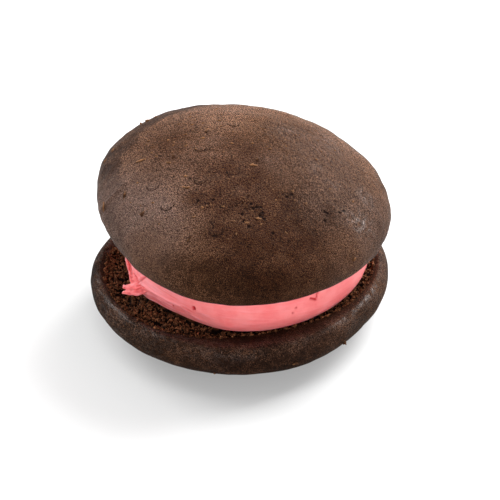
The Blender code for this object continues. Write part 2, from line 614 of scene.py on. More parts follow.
@dataclass(frozen=True)
class CakeSkin(Finish):
    """Thin baked chocolate skin: dark, finely pebbled and dotted with warm crumbs in places, with painted
    sheen, painted glints on its grain, and painted shade in patches and in its pits and cracks.
    """

    dark: Colour = (0.0030, 0.0012, 0.0006, 1)
    brown: Colour = (0.0500, 0.0187, 0.0075, 1)
    # Light grains, and painted glints on the peaks of the grain.
    light_grain_and_painted_glint: Colour = (0.5800, 0.3100, 0.1950, 1)
    # Painted sheen: the pale grey-purple of the lamps' soft reflections.
    painted_sheen: Colour = (0.2100, 0.1300, 0.1040, 1)
    warm: Colour = (0.1500, 0.0620, 0.0240, 1)
    fleck: Colour = (0.2200, 0.1000, 0.0380, 1)
    # Painted shade: the colour that shaded areas are multiplied towards.
    shaded: Colour = (0.3200, 0.2350, 0.1650, 1)
    # Painted shade: the near-black of the pores, cracks and blister edges.
    pore: Colour = (0.0050, 0.0018, 0.0009, 1)

    @staticmethod
    def painted_gap_shade(sheet: NodeSheet, where: Socket) -> Socket:
        """The pores, hooked cracks and torn blister edges, painted dark: painted shade in the pores and cracks,
        and a painted shadow on the front side of each blister's edge.

        Args:
            sheet: The material's node sheet.
            where: Object coordinates, in metres.

        Returns:
            How strongly each point is painted dark, from 0 to 1.
        """
        cuts = sheet.span(sheet.mask("cut"), 0.12, 0.46, 0.95, 0.0)
        ragged = sheet.product(sheet.span(sheet.noise(where, 0.7 * MM, 2.0), 0.3, 0.7, -1.0, 1.0), 0.22)
        from_rim = sheet.maths("ABSOLUTE", sheet.maths("ADD", sheet.mask("blister"), ragged))
        # Painted shadow: each blister's torn edge is painted darkest on its front side, under the raised plate.
        painted_rim_shadows = sheet.product(sheet.span(from_rim, 0.08, 0.34, 0.85, 0.0), sheet.mask("torn"))
        return sheet.maths("MAXIMUM", sheet.maths("MAXIMUM", sheet.mask("pores"), cuts), painted_rim_shadows)

    def surface(self, sheet: NodeSheet, where: Socket, shader: Node) -> Sources:
        """Speckled browns with painted glints, then painted sheen, warm flecks, painted shade and the painted
        shade of pores and cracks, over a grain that grit strengthens.

        Args:
            sheet: The material's node sheet.
            where: Object coordinates, in metres.
            shader: The Principled BSDF.

        Returns:
            The sources of colour, roughness, normal and gloss.
        """
        shader.inputs["Specular IOR Level"].default_value = 0.05
        shader.inputs["Coat Roughness"].default_value = 0.42
        shader.inputs["Sheen Weight"].default_value = 0.014
        shader.inputs["Sheen Roughness"].default_value = 0.35
        shader.inputs["Sheen Tint"].default_value = (1.0, 0.78, 0.64, 1)
        grit, shade, warmth = sheet.mask("grit"), sheet.mask("shade"), sheet.mask("warmth")
        wrinkled = sheet.mask("wrinkled")
        broad = CocoaMottle.put(sheet, where, Fineness=110.0, Raggedness=0.62)
        small = CocoaMottle.put(sheet, where, Fineness=520.0, Raggedness=0.7)
        grain = BakedGrain.put(sheet, where, Fineness=2750.0, Pebble_Share=0.5)
        turned = {"Vector": where, "Rotation": (0, 0, WRINKLE_TURN), "Scale": (1, 3.2, 1)}
        slanted = sheet.node("Mapping", turned, vector_type="TEXTURE").outputs[0]
        streaks = sheet.span(sheet.noise(slanted, 0.25 * MM, 3.0), 0.44, 0.56)
        scratched = sheet.span(wrinkled, 0.0, 1.0, 0.15, 0.42)
        pebbled = sheet.between(scratched, grain.outputs["Speckle"], streaks)
        both_clouds = sheet.maths("ADD", broad.outputs["Cloud"], small.outputs["Cloud"])
        clouds = sheet.span(both_clouds, 0.0, 2.0, 0.32, 0.68)
        tone = sheet.between(sheet.span(grit, 0.0, 1.0, 0.6, 1.0), clouds, pebbled)
        colour = sheet.blend(tone, self.dark, self.brown)
        # The lightest grain turns orange-brown: light grains, and painted glints.
        colour = sheet.blend(sheet.span(tone, 0.7, 1.0, 0.0, 0.58), colour, self.light_grain_and_painted_glint)
        # Painted sheen: the skin turns paler grey where the sheen mask lies, most on its lighter grain.
        dust = sheet.product(sheet.mask("painted_sheen"), sheet.span(tone, 0.1, 1.0, 0.1, 0.8))
        colour = sheet.blend(dust, colour, self.painted_sheen)
        glow = sheet.product(warmth, sheet.span(tone, 0.3, 1.0, 0.05, 0.6))
        colour = sheet.blend(glow, colour, self.warm)
        flecks = sheet.product(small.outputs["Flecks"], sheet.span(warmth, 0.1, 0.9, 0.03, 0.7))
        colour = sheet.blend(flecks, colour, self.fleck)
        # The grain darkens and lightens the colour further: painted glints and shade on the fine relief.
        colour = sheet.dappled(colour, pebbled, 0.4, 1.28)
        # Painted shade: darker where the shade mask says the skin lies in shade.
        colour = sheet.blend(shade, colour, self.shaded, "MULTIPLY")
        painted_gap_shade = self.painted_gap_shade(sheet, where)
        # Painted shade and shadow: pores, cracks and blister edges go near-black.
        colour = sheet.blend(painted_gap_shade, colour, self.pore)
        satin = sheet.span(pebbled, 0.0, 1.0, 0.66, 0.5)
        matt = sheet.maths("MAXIMUM", painted_gap_shade, sheet.product(shade, 0.5))
        roughness = sheet.maths("ADD", satin, sheet.product(matt, 0.3))
        relief = sheet.product(grain.outputs["Height"], sheet.span(grit, 0.0, 1.0, 0.45, 1.0))
        ripple = sheet.product(streaks, sheet.span(wrinkled, 0.0, 1.0, 0.1, 1.0))
        normal = sheet.bump(sheet.maths("ADD", relief, ripple), 0.4 * MM)
        glints = sheet.span(sheet.noise(slanted, 0.9 * MM, 3.0), 0.42, 0.54)
        glints = sheet.product(glints, sheet.span(pebbled, 0.2, 0.85))
        gloss = sheet.product(sheet.mask("gloss"), glints)
        return {"Base Color": colour, "Roughness": roughness, "Normal": normal, "Coat Weight": gloss}


@dataclass(frozen=True)
class OpenCrumb(Finish):
    """Torn chocolate crumb: matt, with grains of several browns; painted shade makes it near-black where it
    lies deep, and painted light makes its high grains warm brown.
    """

    dark: Colour = (0.006, 0.0018, 0.0008, 1)
    brown: Colour = (0.150, 0.0560, 0.0250, 1)
    warm: Colour = (0.360, 0.1500, 0.0700, 1)

    def surface(self, sheet: NodeSheet, where: Socket, shader: Node) -> Sources:
        """Grains of several browns, each with its own tone, darkened by painted shade in the hollows and warmed
        by painted light on the high places.

        Args:
            sheet: The material's node sheet.
            where: Object coordinates, in metres.
            shader: The Principled BSDF.

        Returns:
            The sources of colour, roughness and normal.
        """
        shader.inputs["Specular IOR Level"].default_value = 0.06
        grains = sheet.cells(where, 0.9 * MM)
        own = sheet.node("SeparateColor", {"Color": grains.outputs["Color"]}).outputs[1]
        mottle = CocoaMottle.put(sheet, where, Fineness=260.0, Raggedness=0.7)
        grain = BakedGrain.put(sheet, where, Fineness=2600.0, Pebble_Share=0.35)
        tone = sheet.maths("ADD", sheet.mask("tone"), sheet.product(own, 0.5))
        # Painted shade and light: the tone is low deep in the crumb and high on its raised grains and on loose
        # crumbs' bulges.
        colour = sheet.blend(sheet.span(tone, 0.1, 1.0), self.dark, self.brown)
        colour = sheet.blend(sheet.span(tone, 0.95, 1.4, 0.0, 0.85), colour, self.warm)
        colour = sheet.dappled(colour, grain.outputs["Speckle"], 0.4, 1.55)
        roughness = sheet.span(mottle.outputs["Cloud"], 0.0, 1.0, 0.72, 0.92)
        normal = sheet.bump(grain.outputs["Height"], 0.2 * MM)
        return {"Base Color": colour, "Roughness": roughness, "Normal": normal}


@dataclass(frozen=True)
class ToastedCrumb(Finish):
    """Small dry crumbs on the skin, dark brown to orange-brown by their own tone, and lighter where they bulge
    out, which is painted light.
    """

    dark: Colour = (0.045, 0.0180, 0.0080, 1)
    light: Colour = (0.210, 0.0960, 0.0400, 1)

    def surface(self, sheet: NodeSheet, where: Socket, shader: Node) -> Sources:
        """Each crumb's own tone, with the painted light on its bulges, speckled.

        Args:
            sheet: The material's node sheet.
            where: Object coordinates, in metres.
            shader: The Principled BSDF.

        Returns:
            The sources of colour, roughness and normal.
        """
        shader.inputs["Specular IOR Level"].default_value = 0.1
        grain = BakedGrain.put(sheet, where, Fineness=3000.0, Pebble_Share=0.3)
        mottle = CocoaMottle.put(sheet, where, Fineness=700.0, Raggedness=0.6)
        tone = sheet.product(sheet.mask("tone"), sheet.span(mottle.outputs["Cloud"], 0.0, 1.0, 0.7, 1.2))
        colour = sheet.blend(tone, self.dark, self.light)
        roughness = sheet.span(grain.outputs["Speckle"], 0.0, 1.0, 0.6, 0.8)
        normal = sheet.bump(grain.outputs["Height"], 0.08 * MM)
        return {"Base Color": colour, "Roughness": roughness, "Normal": normal}


@dataclass(frozen=True)
class PinkCream(Finish):
    """Whipped cream: smooth, satin and a little translucent, painted deeper pink in its pits and grooves for
    their shade, and painted paler on its ridges and front-left side for their highlights.
    """

    pink: Colour = (0.885, 0.185, 0.190, 1)
    pale: Colour = (0.930, 0.250, 0.250, 1)
    # Painted shade: the deep pink of pits, grooves and the shelf's underside.
    deep: Colour = (0.520, 0.012, 0.018, 1)
    # Painted highlight: the pale pink of the lit front-left side and the ridges.
    light: Colour = (0.990, 0.320, 0.345, 1)
    bleed: float = 1.2 * MM

    def surface(self, sheet: NodeSheet, where: Socket, shader: Node) -> Sources:
        """Faint clouds of paler pink over a satin surface, then painted highlights and painted shade from the
        mesh's masks.

        Args:
            sheet: The material's node sheet.
            where: Object coordinates, in metres.
            shader: The Principled BSDF.

        Returns:
            The sources of colour, roughness and normal.
        """
        shader.inputs["Subsurface Weight"].default_value = 0.35
        shader.inputs["Subsurface Scale"].default_value = self.bleed
        shader.inputs["Subsurface Radius"].default_value = (1.0, 0.35, 0.3)
        shader.inputs["Specular IOR Level"].default_value = 0.35
        mottle = CocoaMottle.put(sheet, where, Fineness=150.0, Raggedness=0.6)
        grain = BakedGrain.put(sheet, where, Fineness=2200.0, Pebble_Share=0.15)
        colour = sheet.blend(mottle.outputs["Cloud"], self.pink, self.pale)
        # Painted highlight: paler pink where the pale mask lies.
        colour = sheet.blend(sheet.mask("pale"), colour, self.light)
        # Painted shade: deeper pink where the pits mask lies.
        colour = sheet.blend(sheet.mask("pits"), colour, self.deep)
        roughness = sheet.span(mottle.outputs["Cloud"], 0.0, 1.0, 0.38, 0.5)
        normal = sheet.bump(grain.outputs["Height"], 0.03 * MM)
        return {"Base Color": colour, "Roughness": roughness, "Normal": normal}


@dataclass(frozen=True)
class StudioFloor(Finish):
    """A plain pale studio floor that glows a little, so that its shadows stay light."""

    pale: Colour = (0.54, 0.54, 0.54, 1)
    paler: Colour = (0.56, 0.56, 0.56, 1)
    unlit: Colour = (0, 0, 0, 1)
    glow: Colour = (0.24, 0.24, 0.24, 1)

    def surface(self, sheet: NodeSheet, where: Socket, shader: Node) -> Sources:
        """A faint cloudiness, so that it isn't one flat colour.

        Args:
            sheet: The material's node sheet.
            where: Object coordinates, in metres.
            shader: The Principled BSDF.

        Returns:
            The sources of colour and glow.
        """
        shader.inputs["Roughness"].default_value = 0.9
        shader.inputs["Specular IOR Level"].default_value = 0.1
        shader.inputs["Emission Strength"].default_value = 1.0
        cloud = sheet.noise(where, 0.3)
        seen = sheet.node("LightPath").outputs["Is Camera Ray"]
        return {
            "Base Color": sheet.blend(cloud, self.pale, self.paler),
            "Emission Color": sheet.blend(seen, self.unlit, self.glow),
        }


@dataclass(frozen=True)
class Patch:
    """A soft-edged area of a cake's skin, in mm, centred at (x, y) as seen from above the baked dome."""

    x: float
    y: float
    reach: float
    weight: float = 1.0

    def strength(self, places: Array) -> Array:
        """How strongly each point is in the patch.

        Args:
            places: Points of the cake as baked.

        Returns:
            Values from 0 to 1.
        """
        offset = places[:, :2] - np.array((self.x, self.y)) * MM
        return self.weight * np.exp(-np.sum(offset**2, axis=1) / (self.reach * MM) ** 2)


def in_patches(places: Array, patches: tuple[Patch, ...]) -> Array:
    """How strongly each point is in any of some patches.

    Args:
        places: Points of the cake as baked.
        patches: The patches.

    Returns:
        Values from 0 to 1.
    """
    return np.clip(sum((patch.strength(places) for patch in patches), np.zeros(len(places))), 0, 1)


@dataclass(frozen=True)
class Fold:
    """A low ridge or step in the skin, in mm, through (x, y) points as seen from above the baked dome."""

    points: Spots
    width: float
    height: float
    step: float = 0.0


@dataclass(frozen=True)
class SkinDetail:
    """What is uneven about one cake's skin. Spots are (x, y) in mm as seen from above the baked dome."""

    lump_height: float
    wrinkle_height: float
    grit_level: float
    grit_centre: tuple[float, float] = (0.0, 0.0)
    grit_reach: float = 34 * MM
    # How strongly the rim's crest is grainy and glossy and carries a painted highlight.
    crest_grit_and_painted_highlight: float = 0.0
    # Painted shade: a level of darkening over the whole skin.
    shade_level: float = 0.0
    # Painted sheen, in patches.
    painted_sheen: tuple[Patch, ...] = ()
    warmth: tuple[Patch, ...] = ()
    # Painted shade, in patches where the skin lies in shade.
    shade: tuple[Patch, ...] = ()
    porous: tuple[Patch, ...] = ()
    wrinkled: tuple[Patch, ...] = ()
    glossy: tuple[Patch, ...] = ()
    blisters: Spots = ()
    hooks: Spots = ()
    pores: Spots = ()
    folds: tuple[Fold, ...] = ()
    hook_ends: Spots = ((-0.5, 0.6), (0.5, -0.8))
    blister_reach: float = 1.75 * MM
    blister_height: float = 0.12 * MM
    pore_width: float = 0.28 * MM
    pore_depth: float = 0.5 * MM
    pore_rim: float = 0.25 * MM


@dataclass(frozen=True)
class Cake:
    """A cake as baked: dome up, its widest ring in the plane z = 0, its flat crumb face below."""

    name: str
    solid: str
    matrix: Matrix
    radius: float
    dome_height: float
    dome_power: float
    pressed: float
    edge_depth: float
    edge_inset: float
    waves: Waves
    lip_width: float
    lip_extra: float
    lip_extra_at: float
    dent_depth: float
    seed: float
    detail: SkinDetail
    dome_end: float
    edge_end: float
    ring_end: float
    cuts: int = 127
    crumb_within: float = 28 * MM
    dent_size: float = 24 * MM
    lip_extra_spread: float = math.radians(40)
    clump_size: float = 2.3 * MM
    clump_depth: float = 1.3 * MM
    hole_size: float = 1.15 * MM
    hole_depth: float = 0.7 * MM

    @property
    def crest(self) -> float:
        """The radius of the rim's crest."""
        return self.radius - self.edge_inset

    def lip_inner(self, azimuth: Array) -> Array:
        """Where the skin of the rim ends and the open crumb begins.

        Args:
            azimuth: Angles round the cake as baked, in radians.

        Returns:
            The radius at each azimuth, before the outline's waves.
        """
        turn = turn_between(azimuth, math.radians(self.lip_extra_at))
        return self.crest - self.lip_width - self.lip_extra * bell(turn, self.lip_extra_spread)

    def crumb_relief(self, places: Array) -> Array:
        """How deep the torn crumb lies below its highest grains.

        Args:
            places: Points of the flat face.

        Returns:
            Depths in metres.
        """
        clumps, _ = cell_distance(places, self.clump_size, self.seed)
        pores, _ = cell_distance(places, self.hole_size, self.seed + 5)
        rough = rough_noise(places, 0.9 * MM, self.seed)
        depth = self.clump_depth * smooth_step(clumps / 0.75) + self.hole_depth * smooth_step(pores / 0.7)
        return np.maximum(depth + 0.3 * MM * rough, 0)

    def face_depth(self, radius: Array, azimuth: Array) -> tuple[Array, Array]:
        """How far the flat side lies in from the rim's crest.

        Args:
            radius: Distances from the axis, before the outline's waves.
            azimuth: Angles round the cake as baked.

        Returns:
            The depths, and the share of each point that is open crumb.
        """
        inner = self.lip_inner(azimuth)
        depth = CRUMB_SUNK * smooth_step((self.crest - radius) / (self.crest - inner))
        ragged = np.stack([radius * np.cos(azimuth), radius * np.sin(azimuth), 0 * radius], axis=1)
        border = inner + 0.5 * MM * soft_noise(ragged, 2.2 * MM, self.seed)
        torn = smooth_step((border - radius) / (0.7 * MM))
        open_ring = torn * smooth_step((radius - self.crumb_within) / (2 * MM))
        if np.any(open_ring > 0):
            depth += open_ring * self.crumb_relief(ragged)
        return depth, torn

    def mould(self, directions: Array) -> tuple[Array, Array]:
        """Shapes the round blank: down the dome, round the edge, then in across the flat face.

        Args:
            directions: The blank's vertices.

        Returns:
            Where each goes, and the share of each that is open crumb.
        """
        azimuth = np.arctan2(directions[:, 1], directions[:, 0])
        polar = np.degrees(np.arccos(np.clip(directions[:, 2], -1, 1)))
        share = np.sin(np.radians(90 * np.minimum(polar / self.dome_end, 1)))
        dome = self.dome_height * (1 - share**self.dome_power) ** (1 / self.dome_power)
        dome = np.minimum(dome, self.dome_height - self.pressed)
        turn = np.radians(90 * np.clip((polar - self.dome_end) / (self.edge_end - self.dome_end), 0, 1))
        edge_radius = self.radius - self.edge_inset * (1 - np.cos(turn))
        inward = [self.edge_end, self.ring_end, 180]
        face_radius = np.interp(polar, inward, [self.crest, self.crumb_within, 0])
        on_dome, on_face = polar <= self.dome_end, polar > self.edge_end
        radius = np.where(on_dome, self.radius * share, np.where(on_face, face_radius, edge_radius))
        height = np.where(on_dome, dome, -self.edge_depth * np.sin(turn))
        crumb = np.zeros(len(polar))
        depth, torn = self.face_depth(radius[on_face], azimuth[on_face])
        height[on_face] = depth - self.edge_depth
        crumb[on_face] = torn
        radius = radius * outline_share(self.waves, azimuth)
        return np.stack([radius * np.cos(azimuth), radius * np.sin(azimuth), height], axis=1), crumb

    def on_dome(self, x: float, y: float) -> Array:
        """The point of the dome under (x, y), seen from above.

        Args:
            x: Distance along the baked cake's own X axis.
            y: Distance along its Y axis.

        Returns:
            The point, as one row.
        """
        azimuth = math.atan2(y, x)
        reach = math.hypot(x, y) / float(outline_share(self.waves, np.array(azimuth)))
        share = min(reach / self.radius, 0.999)
        height = self.dome_height * (1 - share**self.dome_power) ** (1 / self.dome_power)
        return np.array((x, y, height))

    def grit(self, places: Array) -> Array:
        """How grainy the skin is: most on top of the dome, inside an uneven border, and along the crest.

        Args:
            places: Points of the moulded skin.

        Returns:
            Values from 0 to 1.
        """
        detail = self.detail
        offset = np.hypot(places[:, 0] - detail.grit_centre[0], places[:, 1] - detail.grit_centre[1])
        border = detail.grit_reach + 3 * MM * rough_noise(places, 9 * MM, self.seed + 1)
        on_top = smooth_step((border - offset) / (7 * MM)) * smooth_step(places[:, 2] / (3 * MM))
        return np.clip(detail.grit_level * on_top + self.crest_share(places), 0, 1)

    def crest_share(self, places: Array) -> Array:
        """How much each point lies on the uneven crest of the rim, which is grainier and glossier there and
        carries a painted highlight.

        Args:
            places: Points of the moulded skin.

        Returns:
            Values from 0 to 1.
        """
        outward = np.hypot(places[:, 0], places[:, 1]) - self.crest
        from_crest = np.hypot(outward, places[:, 2] + self.edge_depth)
        uneven = smooth_step(0.5 + 1.4 * soft_noise(places, 9 * MM, self.seed + 12))
        return self.detail.crest_grit_and_painted_highlight * bell(from_crest, 3.0 * MM) * (0.3 + 0.7 * uneven)

    def blistered(self, places: Array) -> tuple[Array, Array, Array, Array]:
        """The burst blisters, each a thin plate of skin that stands up at its front edge.

        Args:
            places: Points of the moulded skin.

        Returns:
            How far each point stands proud, how far it is outside the nearest blister, in mm, how strongly the
            blister's torn edge is painted with its shadow there, from 0 to 1, most on its front side, and its
            distance from the nearest hooked crack, in mm.
        """
        detail = self.detail
        height = np.zeros(len(places))
        outside, torn = np.full(len(places), FAR), np.zeros(len(places))
        uneven = 0.32 * MM * soft_noise(places, 1.3 * MM, self.seed + 20)
        for x, y in detail.blisters:
            offset = places - self.on_dome(x * MM, y * MM)
            gap = np.linalg.norm(offset, axis=1)
            front = -offset[:, 1] / np.maximum(gap, 0.01 * MM)
            lifted = 0.15 + 0.85 * smooth_step((front + 0.1) / 0.8)
            height += detail.blister_height * lifted * smooth_step((detail.blister_reach - gap) / (0.4 * MM))
            beyond = (gap - detail.blister_reach + uneven) / MM
            # Painted shadow: the torn edge gets its dark line on the front side of the blister.
            torn = np.where(beyond < outside, smooth_step((front + 0.9) / 1.3), torn)
            outside = np.minimum(outside, beyond)
        hooked = np.full(len(places), FAR)
        for x, y in detail.hooks:
            line = np.array([self.on_dome((x + dx) * MM, (y + dy) * MM) for dx, dy in detail.hook_ends])
            hooked = np.minimum(hooked, distance_to_line(places, line) / MM + 0.12)
        return height, outside, torn, hooked

    def pores_and_folds(self, places: Array) -> tuple[Array, Array]:
        """The round pores, and the folds' ridges and steps.

        Args:
            places: Points of the moulded skin.

        Returns:
            How far each point stands proud, and how far it is from the nearest pore's rim, in mm.
        """
        detail = self.detail
        height, pore_gap = np.zeros(len(places)), np.full(len(places), FAR)
        for x, y in detail.pores:
            gap = np.linalg.norm(places - self.on_dome(x * MM, y * MM), axis=1)
            height -= detail.pore_depth * bell(gap, detail.pore_width)
            pore_gap = np.minimum(pore_gap, (gap - detail.pore_rim) / MM)
        for fold in detail.folds:
            line = np.array([self.on_dome(x * MM, y * MM) for x, y in fold.points])
            away = distance_to_line(places, line)
            past = places[:, 1] - np.interp(places[:, 0], line[:, 0], line[:, 1])
            behind = smooth_step(0.5 + past / (fold.width * MM))
            ridge = fold.height * MM * bell(away, fold.width * MM)
            height += ridge + fold.step * MM * behind * bell(away, 3 * MM)
        return height, pore_gap

    def skin_relief(self, places: Array) -> tuple[Array, dict[str, Array]]:
        """The skin's lumps, wrinkles, blisters, pores and folds.

        Args:
            places: Points of the moulded skin.

        Returns:
            How far each point stands proud, and the masks that the finish reads.
        """
        detail, seed = self.detail, self.seed
        grit, crest = self.grit(places), self.crest_share(places)
        porous = in_patches(places, detail.porous)
        wrinkled = in_patches(places, detail.wrinkled)
        ragged = 0.5 + 0.5 * rough_noise(places, 6 * MM, seed + 1)
        broad, small = rough_noise(places, 9 * MM, seed + 2, 2), soft_noise(places, 3 * MM, seed + 6)
        lumps = detail.lump_height * (broad + 0.45 * small)
        slanted = places @ np.array(Matrix.Rotation(-WRINKLE_TURN, 3, "Z")).T * (1.0, 0.35, 1.0)
        creases = soft_noise(slanted, 1.15 * MM, seed + 3)
        wrinkles = detail.wrinkle_height * creases * (0.15 * grit + 0.85 * wrinkled)
        pits, _ = cell_distance(places + 0.5 * MM * ragged[:, None], 1.3 * MM, seed + 4)
        holes = smooth_step((0.36 - pits) / 0.2) * smooth_step((porous * (0.35 + ragged) - 0.3) / 0.4)
        plates, outside, torn, hooked = self.blistered(places)
        pricks, pore_gap = self.pores_and_folds(places)
        height = plates + lumps + wrinkles - 0.45 * MM * holes + pricks
        # Painted shade: the level over the whole skin plus ragged patches.
        shade = detail.shade_level + in_patches(places, detail.shade) * (0.65 + 0.6 * ragged)
        gloss = 1.3 * in_patches(places, detail.glossy) * ragged + 0.8 * crest
        masks = {
            "grit": grit,
            # Painted sheen in its patches, and a painted highlight along the crest.
            "painted_sheen": np.clip(in_patches(places, detail.painted_sheen) + 0.7 * crest, 0, 1),
            "warmth": in_patches(places, detail.warmth),
            "shade": np.clip(shade, 0, 1),
            "wrinkled": wrinkled,
            "gloss": np.clip(gloss, 0, 1),
            # The pores, cuts and blister edges are painted dark in the finish: painted shade and painted
            # shadow.
            "pores": 0.9 * holes,
            "cut": np.minimum(hooked, pore_gap),
            "blister": outside,
            "torn": torn,
        }
        return height, masks

    def dents(self, places: Array) -> Array:
        """The broad hollows and swells that the solid has too.

        Args:
            places: Points of the moulded cake.

        Returns:
            How far each point stands proud.
        """
        below_spot = self.dome_height - self.pressed - places[:, 2]
        off_spot = smooth_step(below_spot / (2 * MM)) if self.pressed else 1.0
        return self.dent_depth * soft_noise(places, self.dent_size, self.seed) * off_spot

    def build(self) -> bpy.types.Object:
        """Moulds the cake, gives it its relief and puts it in place.

        Returns:
            The cake's object.
        """
        mesh = round_blank(self.name, self.cuts)
        places, crumb = self.mould(vertex_places(mesh))
        move_vertices(mesh, places)
        normals = vertex_normals(mesh)
        on_skin = smooth_step((places[:, 2] + self.edge_depth) / (3 * MM))
        relief, masks = self.skin_relief(places)
        off_spot = smooth_step((self.dome_height - self.pressed - places[:, 2]) / MM) if self.pressed else 1.0
        proud = self.dents(places) * on_skin + relief * (1 - crumb) * (0.35 + 0.65 * on_skin) * off_spot
        move_vertices(mesh, carried(places + normals * proud[:, None], self.matrix))
        for name, values in masks.items():
            add_mask(mesh, name, values)
        # Painted shade: the crumb's tone falls the deeper it lies below the crest.
        sunk = (places[:, 2] + self.edge_depth - CRUMB_SUNK) / MM
        add_mask(mesh, "tone", 0.8 + 0.3 * soft_noise(places, 1.6 * MM, self.seed + 9) - 0.8 * sunk)
        mesh.materials.append(CakeSkin("baked_skin").material())
        mesh.materials.append(OpenCrumb("open_crumb").material())
        corners = np.empty(len(mesh.loops), dtype=np.int32)
        mesh.loops.foreach_get("vertex_index", corners)
        open_face = crumb[corners].reshape(-1, 4).mean(axis=1) > 0.5
        mesh.polygons.foreach_set("material_index", open_face.astype(np.int32))
        return place_piece(self.name, mesh, self.solid)

    def crumb_surface(self, radius: Array, azimuth: Array) -> Array:
        """Points on the torn crumb, in the part's frame.

        Args:
            radius: Distances from the axis, before the outline's waves.
            azimuth: Angles round the cake as baked.

        Returns:
            The points, one a row.
        """
        depth, _ = self.face_depth(radius, azimuth)
        reach = radius * outline_share(self.waves, azimuth)
        local = np.stack([reach * np.cos(azimuth), reach * np.sin(azimuth), depth - self.edge_depth], axis=1)
        return carried(local, self.matrix)


@dataclass(frozen=True)
class CrumbScatter:
    """Many small crumbs as one mesh, from a few lumpy shapes, each used many times."""

    name: str
    seed: int
    finish: Finish
    kinds: int = 9
    fineness: int = 2
    # Painted light: how much lighter each crumb is where it bulges out.
    painted_tip_light: float = 2.0
    squashed: tuple[float, float, float] = (1.0, 0.8, 0.62)

    def shapes(self) -> tuple[list[tuple[Array, Array]], Array]:
        """Makes the lumpy shapes.

        Returns:
            Each shape's vertices, about 1 across, and how far they stand out; and the faces that they share.
        """
        ball = bmesh.new()
        bmesh.ops.create_icosphere(ball, subdivisions=self.fineness, radius=0.5)
        plain = np.array([vertex.co[:] for vertex in ball.verts])
        faces = np.array([[vertex.index for vertex in face.verts] for face in ball.faces])
        ball.free()
        lumpy = []
        for kind in range(self.kinds):
            swell = 1 + 0.9 * soft_noise(plain, 0.45, self.seed + 3.7 * kind)
            swell += 0.9 * soft_noise(plain, 0.2, self.seed + 5.1 * kind)
            lumpy.append((plain * swell[:, None] * self.squashed, swell - 1))
        return lumpy, faces

    def build(
        self, places: Array, sizes: Array, tones: Array, turns: Array | None = None
    ) -> bpy.types.Object:
        """Places one crumb at each point.

        Args:
            places: Where the crumbs' middles are, in the part's frame.
            sizes: How large each crumb is, or its length, width and height.
            tones: Each crumb's tone, from dark at 0 to warm at 1.
            turns: Each crumb's own 3 x 3 rotation; without it they are turned at random.

        Returns:
            The crumbs' object.
        """
        if turns is None:
            draw = np.random.default_rng(self.seed)
            axes = draw.normal(size=(len(places), 3))
            angles = draw.uniform(0, FULL_TURN, len(places))
            turns = np.array([Matrix.Rotation(angle, 3, Vector(axis)) for angle, axis in zip(angles, axes)])
        lumpy, faces = self.shapes()
        scales = sizes.reshape(len(places), -1) * np.ones(3)
        points = [
            (lumpy[index % self.kinds][0] * scales[index]) @ turns[index].T + place
            for index, place in enumerate(places)
        ]
        count = len(lumpy[0][1])
        proud = np.concatenate([lumpy[index % self.kinds][1] for index in range(len(places))])
        corners = (faces[None] + count * np.arange(len(places))[:, None, None]).reshape(-1, 3)
        mesh = bpy.data.meshes.new(self.name)
        mesh.from_pydata(np.concatenate(points).tolist(), [], corners.tolist())
        mesh.shade_smooth()
        # Painted light: lighter on each crumb's bulges and darker in its dents.
        add_mask(mesh, "tone", np.clip(np.repeat(tones, count) + self.painted_tip_light * proud, 0, 1))
        mesh.materials.append(self.finish.material())
        return place_piece(self.name, mesh)


@dataclass(frozen=True)
class CreamMark:
    """A groove, pit or nick in the cream's side, in mm, through (azimuth in degrees, height) points.

    A negative depth makes a ridge.
    """

    points: Spots
    width: float
    depth: float
    # How strongly the mark is painted deep pink: painted shade in it.
    tint: float = 1.0


